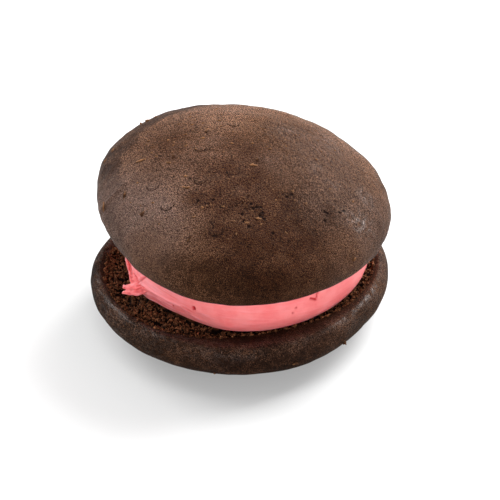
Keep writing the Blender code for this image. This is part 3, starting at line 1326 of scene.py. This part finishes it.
@dataclass(frozen=True)
class Cream:
    """The thick layer of cream, its side bulging out between the cakes' flat faces.

    Its mesh is crowded, so finest, where its marks are.
    """

    lower: Cake
    upper: Cake
    marks: tuple[CreamMark, ...]
    shelf: Spots
    radius: float = 36.0 * MM
    waves: Waves = ((1, 0.055, 10), (2, 0.034, 42))
    bulge: float = 3.0 * MM
    bulge_power: float = 2.2
    side_end: float = 62.0
    hollow: float = 3.6 * MM
    hollow_at: float = math.radians(232)
    hollow_spread: float = math.radians(30)
    streak_depth: float = 0.3 * MM
    streak_size: tuple[float, float, float] = (14 * MM, 14 * MM, 4 * MM)
    crowded_at: float = math.radians(245)
    crowding: float = 0.55
    dragged_at: float = math.radians(228)
    dragged_spread: float = math.radians(24)
    # Where the cream is painted paler: painted light on its front-left side.
    pale_at: float = math.radians(217)
    pale_spread: float = math.radians(17)
    shelf_depth: float = 0.8 * MM
    cuts: int = 125

    @property
    def floor(self) -> float:
        """The height of the flat underside, a gap above the lower cake's crumb."""
        return self.lower.matrix.translation.z + self.lower.edge_depth - CRUMB_SUNK + GAP

    def ceiling(self, x: Array, y: Array) -> Array:
        """The height of the flat top, a gap below the upper cake's leaning crumb face.

        Args:
            x: Places across, measured from the pie's axis.
            y: Places towards the back, measured from the pie's axis.

        Returns:
            The height at each place.
        """
        placed = Matrix.Translation(-PIE_AXIS) @ self.upper.matrix
        normal = placed.to_3x3() @ Vector((0, 0, 1))
        on_face = placed @ Vector((0, 0, CRUMB_SUNK - self.upper.edge_depth - GAP))
        return on_face.z - (normal.x * (x - on_face.x) + normal.y * (y - on_face.y)) / normal.z

    def side_reach(self, azimuth: Array) -> Array:
        """The widest reach: fuller to the right, and hollowed where a tongue was pulled out.

        Args:
            azimuth: Angles round the pie.

        Returns:
            The radius at each azimuth.
        """
        hollow = self.hollow * bell(turn_between(azimuth, self.hollow_at), self.hollow_spread)
        return self.radius * outline_share(self.waves, azimuth) - hollow

    def mould(self, directions: Array) -> tuple[Array, Array]:
        """Shapes the round blank: the bulging side, and the flat top and underside.

        Args:
            directions: The blank's vertices.

        Returns:
            Where each goes, measured from the pie's axis, and how far out on the side it is, from 0 to 1.
        """
        azimuth = np.arctan2(directions[:, 1], directions[:, 0])
        azimuth -= self.crowding * np.sin(azimuth - self.crowded_at)
        latitude = np.degrees(np.arcsin(np.clip(directions[:, 2], -1, 1)))
        reach = self.side_reach(azimuth)
        level = np.clip(latitude / self.side_end, -1, 1)
        round_side = (1 - np.abs(level) ** self.bulge_power) ** (1 / self.bulge_power)
        around = np.stack([np.cos(azimuth), np.sin(azimuth), 0 * azimuth], axis=1) * self.radius
        around[:, 2] = 8 * MM * level
        streaks = self.streak_depth * soft_noise(around / self.streak_size, 1.0)
        side = reach - self.bulge * (1 - round_side) + round_side * streaks
        inward = np.clip((90 - np.abs(latitude)) / (90 - self.side_end), 0, 1)
        radius = np.where(np.abs(latitude) <= self.side_end, side, (reach - self.bulge) * inward)
        x, y = radius * np.cos(azimuth), radius * np.sin(azimuth)
        share = (level + 1) / 2
        places = np.stack([x, y, self.floor * (1 - share) + self.ceiling(x, y) * share], axis=1)
        return places, smooth_step(round_side * 1.6)

    def side_marks(self, places: Array) -> tuple[Array, Array, Array]:
        """Spatula streaks, the shelf below them, and the grooves, pits and nicks.

        Args:
            places: Points of the moulded cream, measured from the pie's axis.

        Returns:
            How far each point stands proud, the mask of painted shade in the cuts and under the shelf, and the
            mask of painted highlight on the ridges and the front-left side.
        """
        turn = np.arctan2(places[:, 1], places[:, 0]) % FULL_TURN
        along, height = self.radius * turn, places[:, 2]
        drawn = np.stack([0.10 * along, height + 0.10 * along, 0 * along], axis=1)
        dragged = bell(turn - self.dragged_at, self.dragged_spread)
        ripples = 0.05 * MM * soft_noise(places, 3.0 * MM, 6.0)
        line = np.array(self.shelf)
        degrees = np.degrees(turn)
        line_height = MM * np.interp(degrees, line[:, 0], line[:, 1])
        on_shelf = smooth_step((degrees - line[0, 0]) / 6) * smooth_step((line[-1, 0] - degrees) / 20)
        below = smooth_step((line_height - height) / (0.6 * MM)) * on_shelf
        streaks = (0.08 + 0.08 * dragged + 0.22 * below) * MM * rough_noise(drawn, 0.9 * MM, 2.0, 3)
        proud = streaks + ripples - self.shelf_depth * below
        # Painted shade: deeper pink under the shelf.
        pits = 0.14 * below
        # Painted light: paler on the front-left side and on the streaks' raised ridges.
        pale = 0.75 * bell(turn - self.pale_at, self.pale_spread) * (1 - 0.4 * below) + 5 * streaks / MM
        flat = np.stack([along, height, 0 * along], axis=1)
        for mark in self.marks:
            path = np.array([(self.radius * math.radians(at), level * MM, 0.0) for at, level in mark.points])
            if len(path) == 1:
                near = np.linalg.norm((flat - path[0]) * (1.0, 0.6, 1.0), axis=1)
            else:
                near = distance_to_line(flat, path)
            shape = bell(near, mark.width * MM)
            proud -= mark.depth * MM * shape
            # Painted shade in each mark.
            pits = np.maximum(pits, mark.tint * shape)
            # Painted highlight on raised marks.
            pale += max(-mark.depth, 0) * shape
        return proud, pits, pale

    def build(self) -> bpy.types.Object:
        """Moulds the cream, marks its side and puts it in place.

        Returns:
            The cream's object.
        """
        mesh = round_blank("cream_body", self.cuts)
        places, on_side = self.mould(vertex_places(mesh))
        move_vertices(mesh, places)
        normals = vertex_normals(mesh)
        proud, pits, pale = self.side_marks(places)
        move_vertices(mesh, places + normals * (proud * on_side)[:, None] + np.array(PIE_AXIS))
        # Painted shade mask.
        add_mask(mesh, "pits", np.clip(pits * on_side, 0, 1))
        # Painted highlight mask.
        add_mask(mesh, "pale", np.clip(pale * on_side, 0, 1))
        mesh.materials.append(PinkCream("whipped_cream").material())
        return place_piece("cream_body", mesh, "cream")


@dataclass(frozen=True)
class Smear:
    """A soft stroke of cream through (x, y, z, half width) points in mm, measured from the pie's axis."""

    points: tuple[tuple[float, float, float, float], ...]
    flatness: float = 0.6
    spacing: float = 0.25

    def dabs(self) -> Array:
        """Closely spaced dabs along the stroke.

        Returns:
            (x, y, z, half width) rows, in metres.
        """
        rows = []
        for start, end in zip(np.array(self.points), np.array(self.points)[1:]):
            steps = max(2, int(np.linalg.norm(end[:3] - start[:3]) / (self.spacing * min(start[3], end[3]))))
            rows += [start + (end - start) * step / steps for step in range(steps + 1)]
        return np.array(rows) * MM


@dataclass(frozen=True)
class TornCream:
    """The tongue and the ribbon of cream that were pulled out at the left, with their torn ends."""

    smears: tuple[Smear, ...]
    voxel: float = 0.15 * MM
    rounds: int = 4
    ridge_height: float = 0.10 * MM
    lump_height: float = 0.16 * MM

    def rough_mesh(self) -> bpy.types.Mesh:
        """Fuses the smears' dabs into one skin.

        Returns:
            The fused mesh, measured from the pie's axis.
        """
        joined = bmesh.new()
        for smear in self.smears:
            for x, y, z, half in smear.dabs():
                squashed = Matrix.Diagonal((half, half, half * smear.flatness, 1))
                shape = Matrix.Translation((x, y, z)) @ squashed
                bmesh.ops.create_icosphere(joined, subdivisions=2, radius=1, matrix=shape)
        mesh = bpy.data.meshes.new("torn_dabs")
        joined.to_mesh(mesh)
        joined.free()
        rough = bpy.data.objects.new("torn_dabs", mesh)
        bpy.context.scene.collection.objects.link(rough)
        remesh = rough.modifiers.new("Remesh", "REMESH")
        remesh.mode = "VOXEL"
        remesh.voxel_size = self.voxel
        remesh.use_smooth_shade = True
        evaluated = rough.evaluated_get(bpy.context.evaluated_depsgraph_get())
        fused = bpy.data.meshes.new_from_object(evaluated)
        bpy.data.objects.remove(rough)
        return fused

    @staticmethod
    def relaxed(mesh: bpy.types.Mesh, rounds: int) -> Array:
        """Evens a mesh out, each vertex moving towards its neighbours.

        Args:
            mesh: The mesh, which isn't changed.
            rounds: How many times to do it.

        Returns:
            The evened places.
        """
        places = vertex_places(mesh)
        ends = np.empty(len(mesh.edges) * 2, dtype=np.int64)
        mesh.edges.foreach_get("vertices", ends)
        first, second = ends.reshape(-1, 2).T
        count = np.bincount(ends, minlength=len(places))[:, None]
        for _ in range(rounds):
            total = np.zeros_like(places)
            np.add.at(total, first, places[second])
            np.add.at(total, second, places[first])
            places = 0.5 * places + 0.5 * total / count
        return places

    def build(self) -> bpy.types.Object:
        """Makes the torn cream and puts it in place.

        Returns:
            The torn cream's object.
        """
        mesh = self.rough_mesh()
        mesh.name = "cream_torn"
        places = self.relaxed(mesh, self.rounds)
        move_vertices(mesh, places)
        normals = vertex_normals(mesh)
        pulled = places * (0.45, 1.0, 1.0)
        ridges = self.ridge_height * rough_noise(pulled, 0.7 * MM, 4.0, 3)
        lumps = self.lump_height * soft_noise(places, 1.5 * MM, 9.0)
        move_vertices(mesh, places + normals * (ridges + lumps)[:, None] + np.array(PIE_AXIS))
        # Painted shade: deeper pink in the low places between ridges and lumps.
        add_mask(mesh, "pits", np.clip(0.15 - 5 * (ridges + lumps) / MM, 0, 0.6))
        # Painted highlight: paler pink on the ridges.
        add_mask(mesh, "pale", np.clip(0.1 + 6 * ridges / MM, 0, 1))
        mesh.materials.clear()
        mesh.materials.append(PinkCream("whipped_cream").material())
        return place_piece("cream_torn", mesh)


@dataclass(frozen=True)
class CrumbBed:
    """The loose grains on one cake's torn face, out from under the cream."""

    cake: Cake
    name: str
    seed: int
    count: int
    smallest: float
    largest: float
    fineness: int
    inner: float

    def build(self) -> bpy.types.Object:
        """Scatters the grains evenly over the ring of open crumb.

        Returns:
            The grains' object.
        """
        draw = np.random.default_rng(self.seed)
        azimuth = draw.uniform(0, FULL_TURN, self.count * 3)
        outer = self.cake.lip_inner(azimuth) + 0.3 * MM
        radius = np.sqrt(draw.uniform(self.inner**2, self.cake.radius**2, self.count * 3))
        kept = np.nonzero(radius < outer)[0][: self.count]
        places = self.cake.crumb_surface(radius[kept], azimuth[kept])
        sizes = self.smallest + (self.largest - self.smallest) * draw.uniform(0, 1, len(kept)) ** 2
        outward = np.array(self.cake.matrix.to_3x3() @ Vector((0, 0, -1)))
        places = places + outward * (0.22 * sizes)[:, None]
        tones = np.clip(draw.normal(0.5, 0.22, len(kept)), 0, 1)
        scatter = CrumbScatter(self.name, self.seed, OpenCrumb("loose_crumb"), fineness=self.fineness)
        return scatter.build(places, sizes, tones)


@dataclass(frozen=True)
class Flake:
    """A crumb stuck to the skin, in mm and degrees, at (x, y) as seen from above the baked dome.

    It stands `above` the dome's own point there.
    """

    x: float
    y: float
    length: float
    width: float
    height: float
    turn: float = 0.0
    tone: float = 1.0
    above: float = 0.0


@dataclass(frozen=True)
class StuckCrumbs:
    """The warm crumbs and flakes that stick to a cake's skin."""

    name: str
    cake: Cake
    flakes: tuple[Flake, ...]
    strewn: tuple[tuple[Patch, int], ...] = ()
    seed: int = 5

    def all_flakes(self) -> list[Flake]:
        """The named flakes, and small crumbs strewn over their patches.

        Returns:
            Every flake to build.
        """
        draw = np.random.default_rng(self.seed)
        flakes = list(self.flakes)
        for patch, count in self.strewn:
            offsets = draw.normal(0, 0.7 * patch.reach, (count, 2)) + (patch.x, patch.y)
            widths = draw.uniform(0.2, 0.5, count)
            tones = draw.uniform(0.2, 1.0, count)
            turns = draw.uniform(0, 180, count)
            for (x, y), width, tone, turn in zip(offsets, widths, tones, turns):
                flakes.append(Flake(x, y, 1.4 * width, width, 0.7 * width, turn, tone))
        return flakes

    def build(self) -> bpy.types.Object:
        """Lays every flake flat on the skin.

        Returns:
            The crumbs' object.
        """
        flakes = self.all_flakes()
        local = np.array([self.cake.on_dome(flake.x * MM, flake.y * MM) for flake in flakes])
        up = local / (self.cake.radius**2, self.cake.radius**2, self.cake.dome_height**2)
        up /= np.linalg.norm(up, axis=1)[:, None]
        local[:, 2] += np.array([flake.above for flake in flakes]) * MM
        local += up * (self.cake.dents(local) + self.cake.skin_relief(local)[0] + 0.1 * MM)[:, None]
        lean = self.cake.matrix.to_3x3()
        turns = []
        for flake, normal in zip(flakes, up):
            upright = Vector((0, 0, 1)).rotation_difference(Vector(normal)).to_matrix()
            turns.append(np.array(lean @ upright @ Matrix.Rotation(math.radians(flake.turn), 3, "Z")))
        sizes = np.array([(flake.length, flake.width, flake.height) for flake in flakes]) * MM
        tones = np.array([flake.tone for flake in flakes])
        scatter = CrumbScatter(self.name, self.seed, ToastedCrumb("toasted_crumb"))
        return scatter.build(carried(local, self.cake.matrix), sizes, tones, np.array(turns))


@dataclass(frozen=True)
class SoftBox:
    """A square studio light that faces the pie."""

    name: str
    place: tuple[float, float, float]
    size: float
    watts: float

    def build(self, target: Vector) -> None:
        """Hangs the light.

        Args:
            target: What it faces.
        """
        light = bpy.data.lights.new(self.name, "AREA")
        light.shape = "SQUARE"
        light.size = self.size
        light.energy = self.watts
        lamp = bpy.data.objects.new(self.name, light)
        lamp.location = self.place
        lamp.rotation_euler = (target - Vector(self.place)).to_track_quat("-Z", "Y").to_euler()
        bpy.context.scene.collection.objects.link(lamp)


@dataclass(frozen=True)
class Studio:
    """The pale floor, the soft lights and the photo's camera."""

    target: Vector = PIE_AXIS + Vector((2.87, 0, 21.07)) * MM
    elevation: float = math.radians(33.9)
    roll: float = math.radians(1.5)
    distance: float = 0.6
    lens_mm: float = 146.6
    floor_size: float = 6.0
    floor_drop: float = 0.02 * MM
    sky: float = 0.45
    lights: tuple[SoftBox, ...] = (
        SoftBox("light_back_left", (-0.54, 0.40, 0.45), 0.50, 4.6),
        SoftBox("light_back_right", (0.46, 0.42, 0.56), 0.60, 14.5),
        SoftBox("light_top", (0.0, 0.10, 0.85), 0.60, 1.8),
        SoftBox("light_front", (0.10, -0.98, 0.26), 0.80, 7.2),
    )

    def camera(self) -> None:
        """Makes the camera at the photo's angle, tipped by its small roll."""
        back = Vector((0, -math.cos(self.elevation), math.sin(self.elevation)))
        level = Vector((1, 0, 0))
        up = back.cross(level)
        across = level * math.cos(self.roll) - up * math.sin(self.roll)
        upright = level * math.sin(self.roll) + up * math.cos(self.roll)
        data = bpy.data.cameras.new("camera")
        data.lens = self.lens_mm
        data.clip_start = 0.01
        camera = bpy.data.objects.new("camera", data)
        turned = Matrix((across, upright, back)).transposed().to_4x4()
        camera.matrix_world = Matrix.Translation(self.target + back * self.distance) @ turned
        bpy.context.scene.collection.objects.link(camera)
        bpy.context.scene.camera = camera

    def build(self) -> None:
        """Lays the floor, hangs the lights and sets the camera and the world."""
        mesh = bpy.data.meshes.new("floor")
        sheet = bmesh.new()
        bmesh.ops.create_grid(sheet, x_segments=8, y_segments=8, size=self.floor_size / 2)
        sheet.to_mesh(mesh)
        sheet.free()
        mesh.materials.append(StudioFloor("studio_floor").material())
        floor = bpy.data.objects.new("floor", mesh)
        bpy.context.scene.collection.objects.link(floor)
        floor.location.z = -self.floor_drop
        world = bpy.data.worlds.new("studio")
        world.use_nodes = True
        world.node_tree.nodes["Background"].inputs["Strength"].default_value = self.sky
        world.node_tree.nodes["Background"].inputs["Color"].default_value = (1, 1, 1, 1)
        bpy.context.scene.world = world
        for light in self.lights:
            light.build(self.target)
        bpy.context.scene.view_settings.view_transform = "Standard"
        self.camera()


def lower_cake() -> Cake:
    """The lower cake, dome down, on its pressed spot.

    Returns:
        The cake, ready to build.
    """
    dome_height, pressed = 12.5 * MM, 0.4 * MM
    centre = PIE_AXIS + Vector((0, 0, dome_height - pressed))
    # The lower cake's skin gets painted shade all over, and more at its left and front.
    detail = SkinDetail(
        lump_height=0.17 * MM, wrinkle_height=0.10 * MM, grit_level=0.15, crest_grit_and_painted_highlight=0.9, shade_level=0.42,
        glossy=(
            Patch(-32, 20, 8, 0.9), Patch(-20, 33, 8, 0.8), Patch(-7, 39, 6, 0.5), Patch(30, 24, 8, 0.2),
        ),
        warmth=(Patch(34, 18, 17), Patch(-27, 30, 16, 0.6)),
        shade=(Patch(-43, -2, 20, 0.6), Patch(4, 43, 22, 0.3)),
        wrinkled=(Patch(34, 22, 8), Patch(-28, 30, 9)),
    )
    return Cake(
        name="cake_lower_body", solid="cake_lower",
        matrix=Matrix.Translation(centre) @ Matrix.Rotation(math.pi, 4, "X"),
        radius=43.8 * MM, dome_height=dome_height, dome_power=2.4, pressed=pressed,
        edge_depth=4.0 * MM, edge_inset=2.9 * MM,
        waves=((2, 0.0175, -38), (3, 0.0186, -46), (4, 0.007, 7), (5, 0.004, 0)),
        lip_width=1.5 * MM, lip_extra=6.2 * MM, lip_extra_at=78, dent_depth=0.35 * MM, seed=3.0,
        detail=detail, dome_end=78, edge_end=104, ring_end=150,
    )


def upper_skin() -> SkinDetail:
    """What shows on the upper cake's skin.

    Returns:
        Its patches, blisters, hooked cracks, pores and folds.
    """
    return SkinDetail(
        lump_height=0.32 * MM, wrinkle_height=0.32 * MM, grit_level=1.0,
        grit_centre=(2.5 * MM, -4 * MM), grit_reach=41.5 * MM,
        # Painted sheen, mostly on the left and right slopes of the dome, where the lamps' reflections fall.
        painted_sheen=(
            Patch(-28, -19, 11, 0.85), Patch(-18, -7, 6, 0.15), Patch(-9.3, 5.5, 2.4, 0.5),
            Patch(-15.5, -1, 4, 0.2), Patch(6.7, -4.5, 4.2, 0.9), Patch(10.5, -11.5, 3.5, 0.7),
            Patch(-38, -8, 9, 0.9), Patch(-27, -26, 7, 1.0), Patch(-20, -32, 7, 0.5),
            Patch(-8, 30, 12, 0.15), Patch(34, -12, 11, 0.9), Patch(23, -2, 9, 1.0), Patch(22, 8, 9, 0.9),
            Patch(13, 16, 7, 0.6), Patch(22, -20, 7, 0.7), Patch(36, -25, 7, 0.6), Patch(-25, -31, 6, 0.4),
            Patch(27, -35, 5, 0.6),
        ),
        warmth=(
            Patch(3, 5, 10), Patch(18, 10, 11), Patch(-20, 8, 8, 0.5), Patch(9, 17, 9),
            Patch(10, -27, 8, 0.6), Patch(-4, -26, 6, 0.3), Patch(10, -13, 6), Patch(-29, -33, 8),
            Patch(26, -6, 15, 0.8), Patch(-14, -41, 10, 0.7), Patch(4, -42, 13), Patch(38, 0, 8, 0.8),
            Patch(31, -26, 13, 0.8), Patch(18, -36, 12, 0.6),
        ),
        # Painted shade: darker in the middle, towards the front and on the left.
        shade=(
            Patch(3, -24, 15, 1.0), Patch(1, -34, 9, 0.5), Patch(12, -36, 10, 0.5), Patch(23, -31, 8, 0.4),
            Patch(0, -44, 16, 0.55), Patch(1, -20, 7, 0.5), Patch(-14.5, -20, 3.6, 0.4),
            Patch(24, -20.5, 2.6, 0.6), Patch(-22, 10, 12, 0.8), Patch(-24, -5, 9, 0.4),
            Patch(-11, -9, 9, 0.4), Patch(0, -3, 11, 0.55), Patch(0, 4, 7, 0.3), Patch(-9, -20, 8, 0.3),
        ),
        porous=(Patch(4, -25, 5), Patch(-2, -20, 5), Patch(12, -18, 3)),
        wrinkled=(Patch(24, -4, 13), Patch(14, 12, 10), Patch(33, -16, 8), Patch(20, -22, 9, 0.7)),
        glossy=(
            Patch(12.4, 13.2, 2.5), Patch(23.8, 15.2, 3, 0.6), Patch(20.5, -4, 1.8, 0.4),
            Patch(25.5, -10, 1.8, 0.6), Patch(35.4, -9.7, 2.5), Patch(33.6, -20, 4.5),
            Patch(25.4, 10.4, 3, 0.4), Patch(-26, -21, 10, 0.2),
        ),
        blisters=(
            (-25.7, -12.4), (-21.5, -21.2), (-12.7, 0.8), (-12.5, -13.3), (-7.8, -31.8), (-3.1, 14.5),
            (-3.3, -10.1),
        ),
        hooks=(
            (-26.6, -9.3), (-22.1, -18.9), (-13.9, 4.0), (-13.7, -9.9), (-9.0, -29.4), (-4.0, 18.6),
            (-4.1, -6.7),
        ),
        pores=(
            (2.3, -24.2), (3.4, -23.7), (4.6, -23.6), (-0.7, -26.5), (-0.2, -28.9), (5.1, -25.3),
            (4.3, -26.4), (5.4, -27.3), (1.8, -22.8), (7.9, -31.6), (1.2, -30.4), (-8.8, -21.4),
            (-6.6, -24.1), (22.7, -20.9), (23.5, -21.1), (28.3, -18.2), (27.1, -19.4), (13.3, -17.5),
            (11.9, -18.6), (22.7, -23.8), (-13.0, -21.3),
        ),
        folds=(
            Fold(((-39.5, -9.8), (-37.8, -10.1), (-35.6, -9.4), (-33.4, -7.8)), 0.6, 0.55, 0.3),
            Fold(
                ((5.9, 30.3), (11.3, 29.2), (17.1, 24.9), (22.3, 19.8), (25.6, 13.5), (27.5, 6.2)), 1.4, 0.2,
            ),
        ),
    )


def upper_cake() -> Cake:
    """The upper cake, dome up, leaning forward and to the right.

    Returns:
        The cake, ready to build.
    """
    lean = Matrix.Rotation(math.radians(4.5), 4, "Y") @ Matrix.Rotation(math.radians(3.1), 4, "X")
    centre = PIE_AXIS + Vector((0.6, 2.6, 36.4)) * MM
    return Cake(
        name="cake_upper_body", solid="cake_upper", matrix=Matrix.Translation(centre) @ lean,
        radius=43.9 * MM, dome_height=18.6 * MM, dome_power=1.9, pressed=0.0,
        edge_depth=5.0 * MM, edge_inset=4.7 * MM,
        waves=((2, 0.034, -72), (3, 0.024, 12), (4, 0.010, -22)),
        lip_width=2.2 * MM, lip_extra=1.0 * MM, lip_extra_at=200, dent_depth=0.5 * MM, seed=11.0,
        detail=upper_skin(), dome_end=112, edge_end=130, ring_end=152,
    )


def hanging_crumbs(cake: Cake) -> StuckCrumbs:
    """The few crumbs that hang on the lower cake's outer edge.

    Args:
        cake: The lower cake.

    Returns:
        The crumbs, ready to build.
    """
    flakes = (
        Flake(29.0, 31.3, 1.5, 0.9, 1.1, 40, -0.4, 1.0), Flake(29.2, 31.6, 0.4, 0.3, 1.3, 0, -0.3, 1.8),
        Flake(15.0, 41.2, 1.4, 0.9, 1.2, 0, -0.3), Flake(-8.0, 42.0, 0.9, 0.7, 0.8, 30, 0.1),
    )
    return StuckCrumbs("edge_crumbs", cake, flakes)


def stuck_crumbs(cake: Cake) -> StuckCrumbs:
    """The crumbs on the upper cake's skin.

    Args:
        cake: The upper cake.

    Returns:
        The crumbs, ready to build.
    """
    nubs = (
        (-33.4, -11.8), (-28.4, -21.4), (-14.9, -32.9), (-20.0, -1.9), (-10.7, 9.9), (3.8, -5.0),
        (31.5, -29.2),
    )
    flakes = tuple(Flake(x, y, 1.8, 1.0, 1.8, 62, -0.5) for x, y in nubs) + (
        Flake(-29.7, 0.5, 2.6, 1.1, 0.6, 5), Flake(-40.2, 10.5, 2.4, 0.9, 0.7, 75),
        Flake(-38.8, -10.2, 2.2, 1.2, 0.7, 65), Flake(-38.1, 13.8, 2.2, 0.8, 0.5, 70, 0.3),
        Flake(-16.1, -15.9, 2.0, 1.3, 0.6, -10, 0.35), Flake(-11.9, 6.4, 1.3, 0.8, 0.6, 20),
        Flake(-21.4, -4.3, 1.5, 0.8, 0.5, -20, 0.8), Flake(-21.9, 7.6, 0.8, 0.7, 0.5),
        Flake(2.7, -7.3, 1.8, 1.0, 0.6, 0, 0.8), Flake(2.3, 3.4, 0.8, 0.7, 0.6),
        Flake(5.6, 12.5, 0.9, 0.8, 0.5, 0, 0.7), Flake(7.3, 0.8, 0.8, 0.8, 0.6, 0, 0.4),
        Flake(-3.6, 2.8, 0.8, 0.7, 0.5), Flake(13.6, -16.3, 0.8, 0.6, 0.6),
        Flake(20.7, -0.8, 0.7, 0.6, 0.5), Flake(24.4, -11.9, 0.7, 0.6, 0.5),
        Flake(31.1, -13.6, 0.7, 0.6, 0.5), Flake(4.1, -27.6, 1.2, 0.7, 0.5, 0, 0.8),
        Flake(0.7, -29.3, 1.0, 0.7, 0.5), Flake(11.6, -30.7, 1.0, 0.5, 0.5, -40),
        Flake(-14.1, -26.9, 0.8, 0.7, 0.5), Flake(-11.8, -24.0, 0.8, 0.7, 0.5, 0, 0.7),
        Flake(-6.0, -24.1, 0.8, 0.8, 0.5), Flake(-30.0, -9.3, 0.8, 0.6, 0.5, 0, 0.7),
        Flake(-25.5, -18.8, 0.8, 0.6, 0.5, 0, 0.7), Flake(-16.7, 2.9, 1.0, 0.6, 0.5, 30),
        Flake(-16.5, -11.1, 0.9, 0.7, 0.5, 0, 0.8), Flake(-7.2, 16.8, 0.9, 0.7, 0.5),
        Flake(-11.9, 15.7, 0.8, 0.6, 0.5), Flake(-27.7, 9.9, 0.7, 0.6, 0.5),
        Flake(-15.1, 14.9, 0.7, 0.5, 0.5), Flake(-16.8, 9.1, 0.9, 0.5, 0.5),
        Flake(-24.9, -0.3, 0.7, 0.5, 0.4), Flake(-26.4, 2.5, 0.8, 0.5, 0.4),
        Flake(-28.3, 27.4, 1.5, 1.1, 1.4, 20, 0.7), Flake(-30.2, 26.3, 0.5, 0.4, 1.7, 0, 0.9),
        Flake(-26.0, 29.0, 0.8, 0.6, 0.8),
    )
    strewn = (
        (Patch(-20, 8, 9), 30), (Patch(0, 4, 12), 30), (Patch(18, 4, 12), 30), (Patch(6, -24, 8), 40),
        (Patch(-16, -20, 14), 20), (Patch(-10, 20, 9), 20),
    )
    return StuckCrumbs("skin_crumbs", cake, flakes, strewn)


def pink_cream(lower: Cake, upper: Cake) -> Cream:
    """The cream with the marks on its side.

    Args:
        lower: The cake under it.
        upper: The cake on it.

    Returns:
        The cream, ready to build.
    """
    marks = (
        CreamMark(((245.6, 21.0), (245.6, 21.8)), 0.5, 1.6, 2.2),
        CreamMark(((230.7, 18.2),), 0.28, 0.4, 1.4),
        CreamMark(((295.7, 22.5),), 0.24, 0.3, 1.4),
        CreamMark(((294.2, 21.0),), 0.22, 0.3, 1.4),
        CreamMark(((303.5, 24.0), (306.5, 22.8), (308.0, 25.7)), 0.28, 0.8, 1.3),
        CreamMark(((209.2, 22.2), (211.2, 23.5), (213.2, 24.7)), 0.34, 0.6, 0.6),
        CreamMark(((209.8, 20.6), (212.0, 20.8), (213.5, 21.1)), 0.3, 0.6, 0.7),
        CreamMark(((197.5, 24.6), (199.7, 23.9), (201.7, 22.9), (203.8, 22.0)), 0.4, 0.6, 0.35),
        CreamMark(((203.4, 22.2), (205.4, 21.1), (206.3, 20.3)), 0.8, 0.6, 0.2),
        CreamMark(((201.5, 25.4), (206.5, 24.4), (209.0, 22.9), (209.6, 21.5)), 0.5, -0.3, 0.0),
        CreamMark(
            ((209.5, 21.6), (213.0, 21.7), (220.0, 21.3), (228.0, 20.9), (238.0, 20.9)), 0.28, -0.45, 0.0,
        ),
    )
    shelf = (
        (211.0, 21.0), (215.0, 20.8), (220.2, 20.7), (224.9, 20.3), (231.6, 20.1), (240.2, 20.4),
        (249.3, 21.1), (262.0, 21.4),
    )
    return Cream(lower=lower, upper=upper, marks=marks, shelf=shelf)


def torn_cream() -> TornCream:
    """The torn tongue and ribbon.

    Returns:
        The strokes, ready to build.
    """
    tongue_top = Smear((
        (-28.0, -15.4, 21.6, 1.2), (-30.0, -15.9, 20.8, 1.2), (-31.4, -15.8, 20.2, 1.1),
        (-32.9, -15.5, 19.7, 0.9), (-33.7, -15.3, 19.5, 0.6),
    ), flatness=0.75)
    top_tip = Smear(((-33.0, -15.2, 19.7, 0.6), (-33.9, -14.6, 19.8, 0.3)))
    tongue_below = Smear((
        (-26.6, -17.0, 20.4, 1.1), (-28.3, -17.1, 19.6, 1.3), (-29.7, -17.3, 19.1, 1.35),
        (-31.2, -17.1, 19.0, 1.2), (-32.6, -16.8, 18.9, 0.9), (-33.5, -16.8, 18.8, 0.6),
        (-34.2, -17.1, 18.7, 0.3),
    ), flatness=0.75)
    ribbon_edge = Smear((
        (-32.9, -8.3, 25.4, 0.3), (-32.6, -10.3, 24.2, 0.36), (-32.2, -12.0, 23.2, 0.42),
        (-31.8, -13.4, 22.2, 0.48), (-31.5, -14.6, 21.2, 0.55), (-31.1, -15.6, 20.3, 0.7),
    ), flatness=1.0)
    ribbon = Smear((
        (-30.8, -9.0, 25.6, 0.7), (-30.5, -12.0, 23.6, 0.9), (-30.1, -14.5, 21.9, 1.0),
    ), flatness=1.0)
    pulled_edge = Smear((
        (-28.6, -16.6, 21.6, 0.6), (-27.4, -17.8, 20.9, 0.5), (-26.0, -19.2, 20.6, 0.35),
    ), flatness=0.8)
    return TornCream((tongue_top, top_tip, tongue_below, ribbon_edge, ribbon, pulled_edge))


def crumb_beds(lower: Cake, upper: Cake) -> tuple[CrumbBed, ...]:
    """The loose grains and dust on the lower cake's crumb, and the grains on the upper cake's.

    Args:
        lower: The lower cake.
        upper: The upper cake.

    Returns:
        The beds, ready to build.
    """
    return (
        CrumbBed(
            lower, "crumb_grains", seed=21, count=2400,
            smallest=0.5 * MM, largest=1.4 * MM, fineness=2, inner=29.5 * MM,
        ),
        CrumbBed(
            lower, "crumb_dust", seed=22, count=3500,
            smallest=0.3 * MM, largest=0.8 * MM, fineness=1, inner=29.5 * MM,
        ),
        CrumbBed(
            upper, "crumb_grains_above", seed=23, count=900,
            smallest=0.5 * MM, largest=1.2 * MM, fineness=2, inner=33.5 * MM,
        ),
    )


def main() -> None:
    logging.basicConfig(level=logging.INFO, format="%(message)s")
    lower, upper = lower_cake(), upper_cake()
    lower.build()
    upper.build()
    pink_cream(lower, upper).build()
    torn_cream().build()
    for bed in crumb_beds(lower, upper):
        bed.build()
    stuck_crumbs(upper).build()
    hanging_crumbs(lower).build()
    Studio().build()


if __name__ == "__main__":
    main()
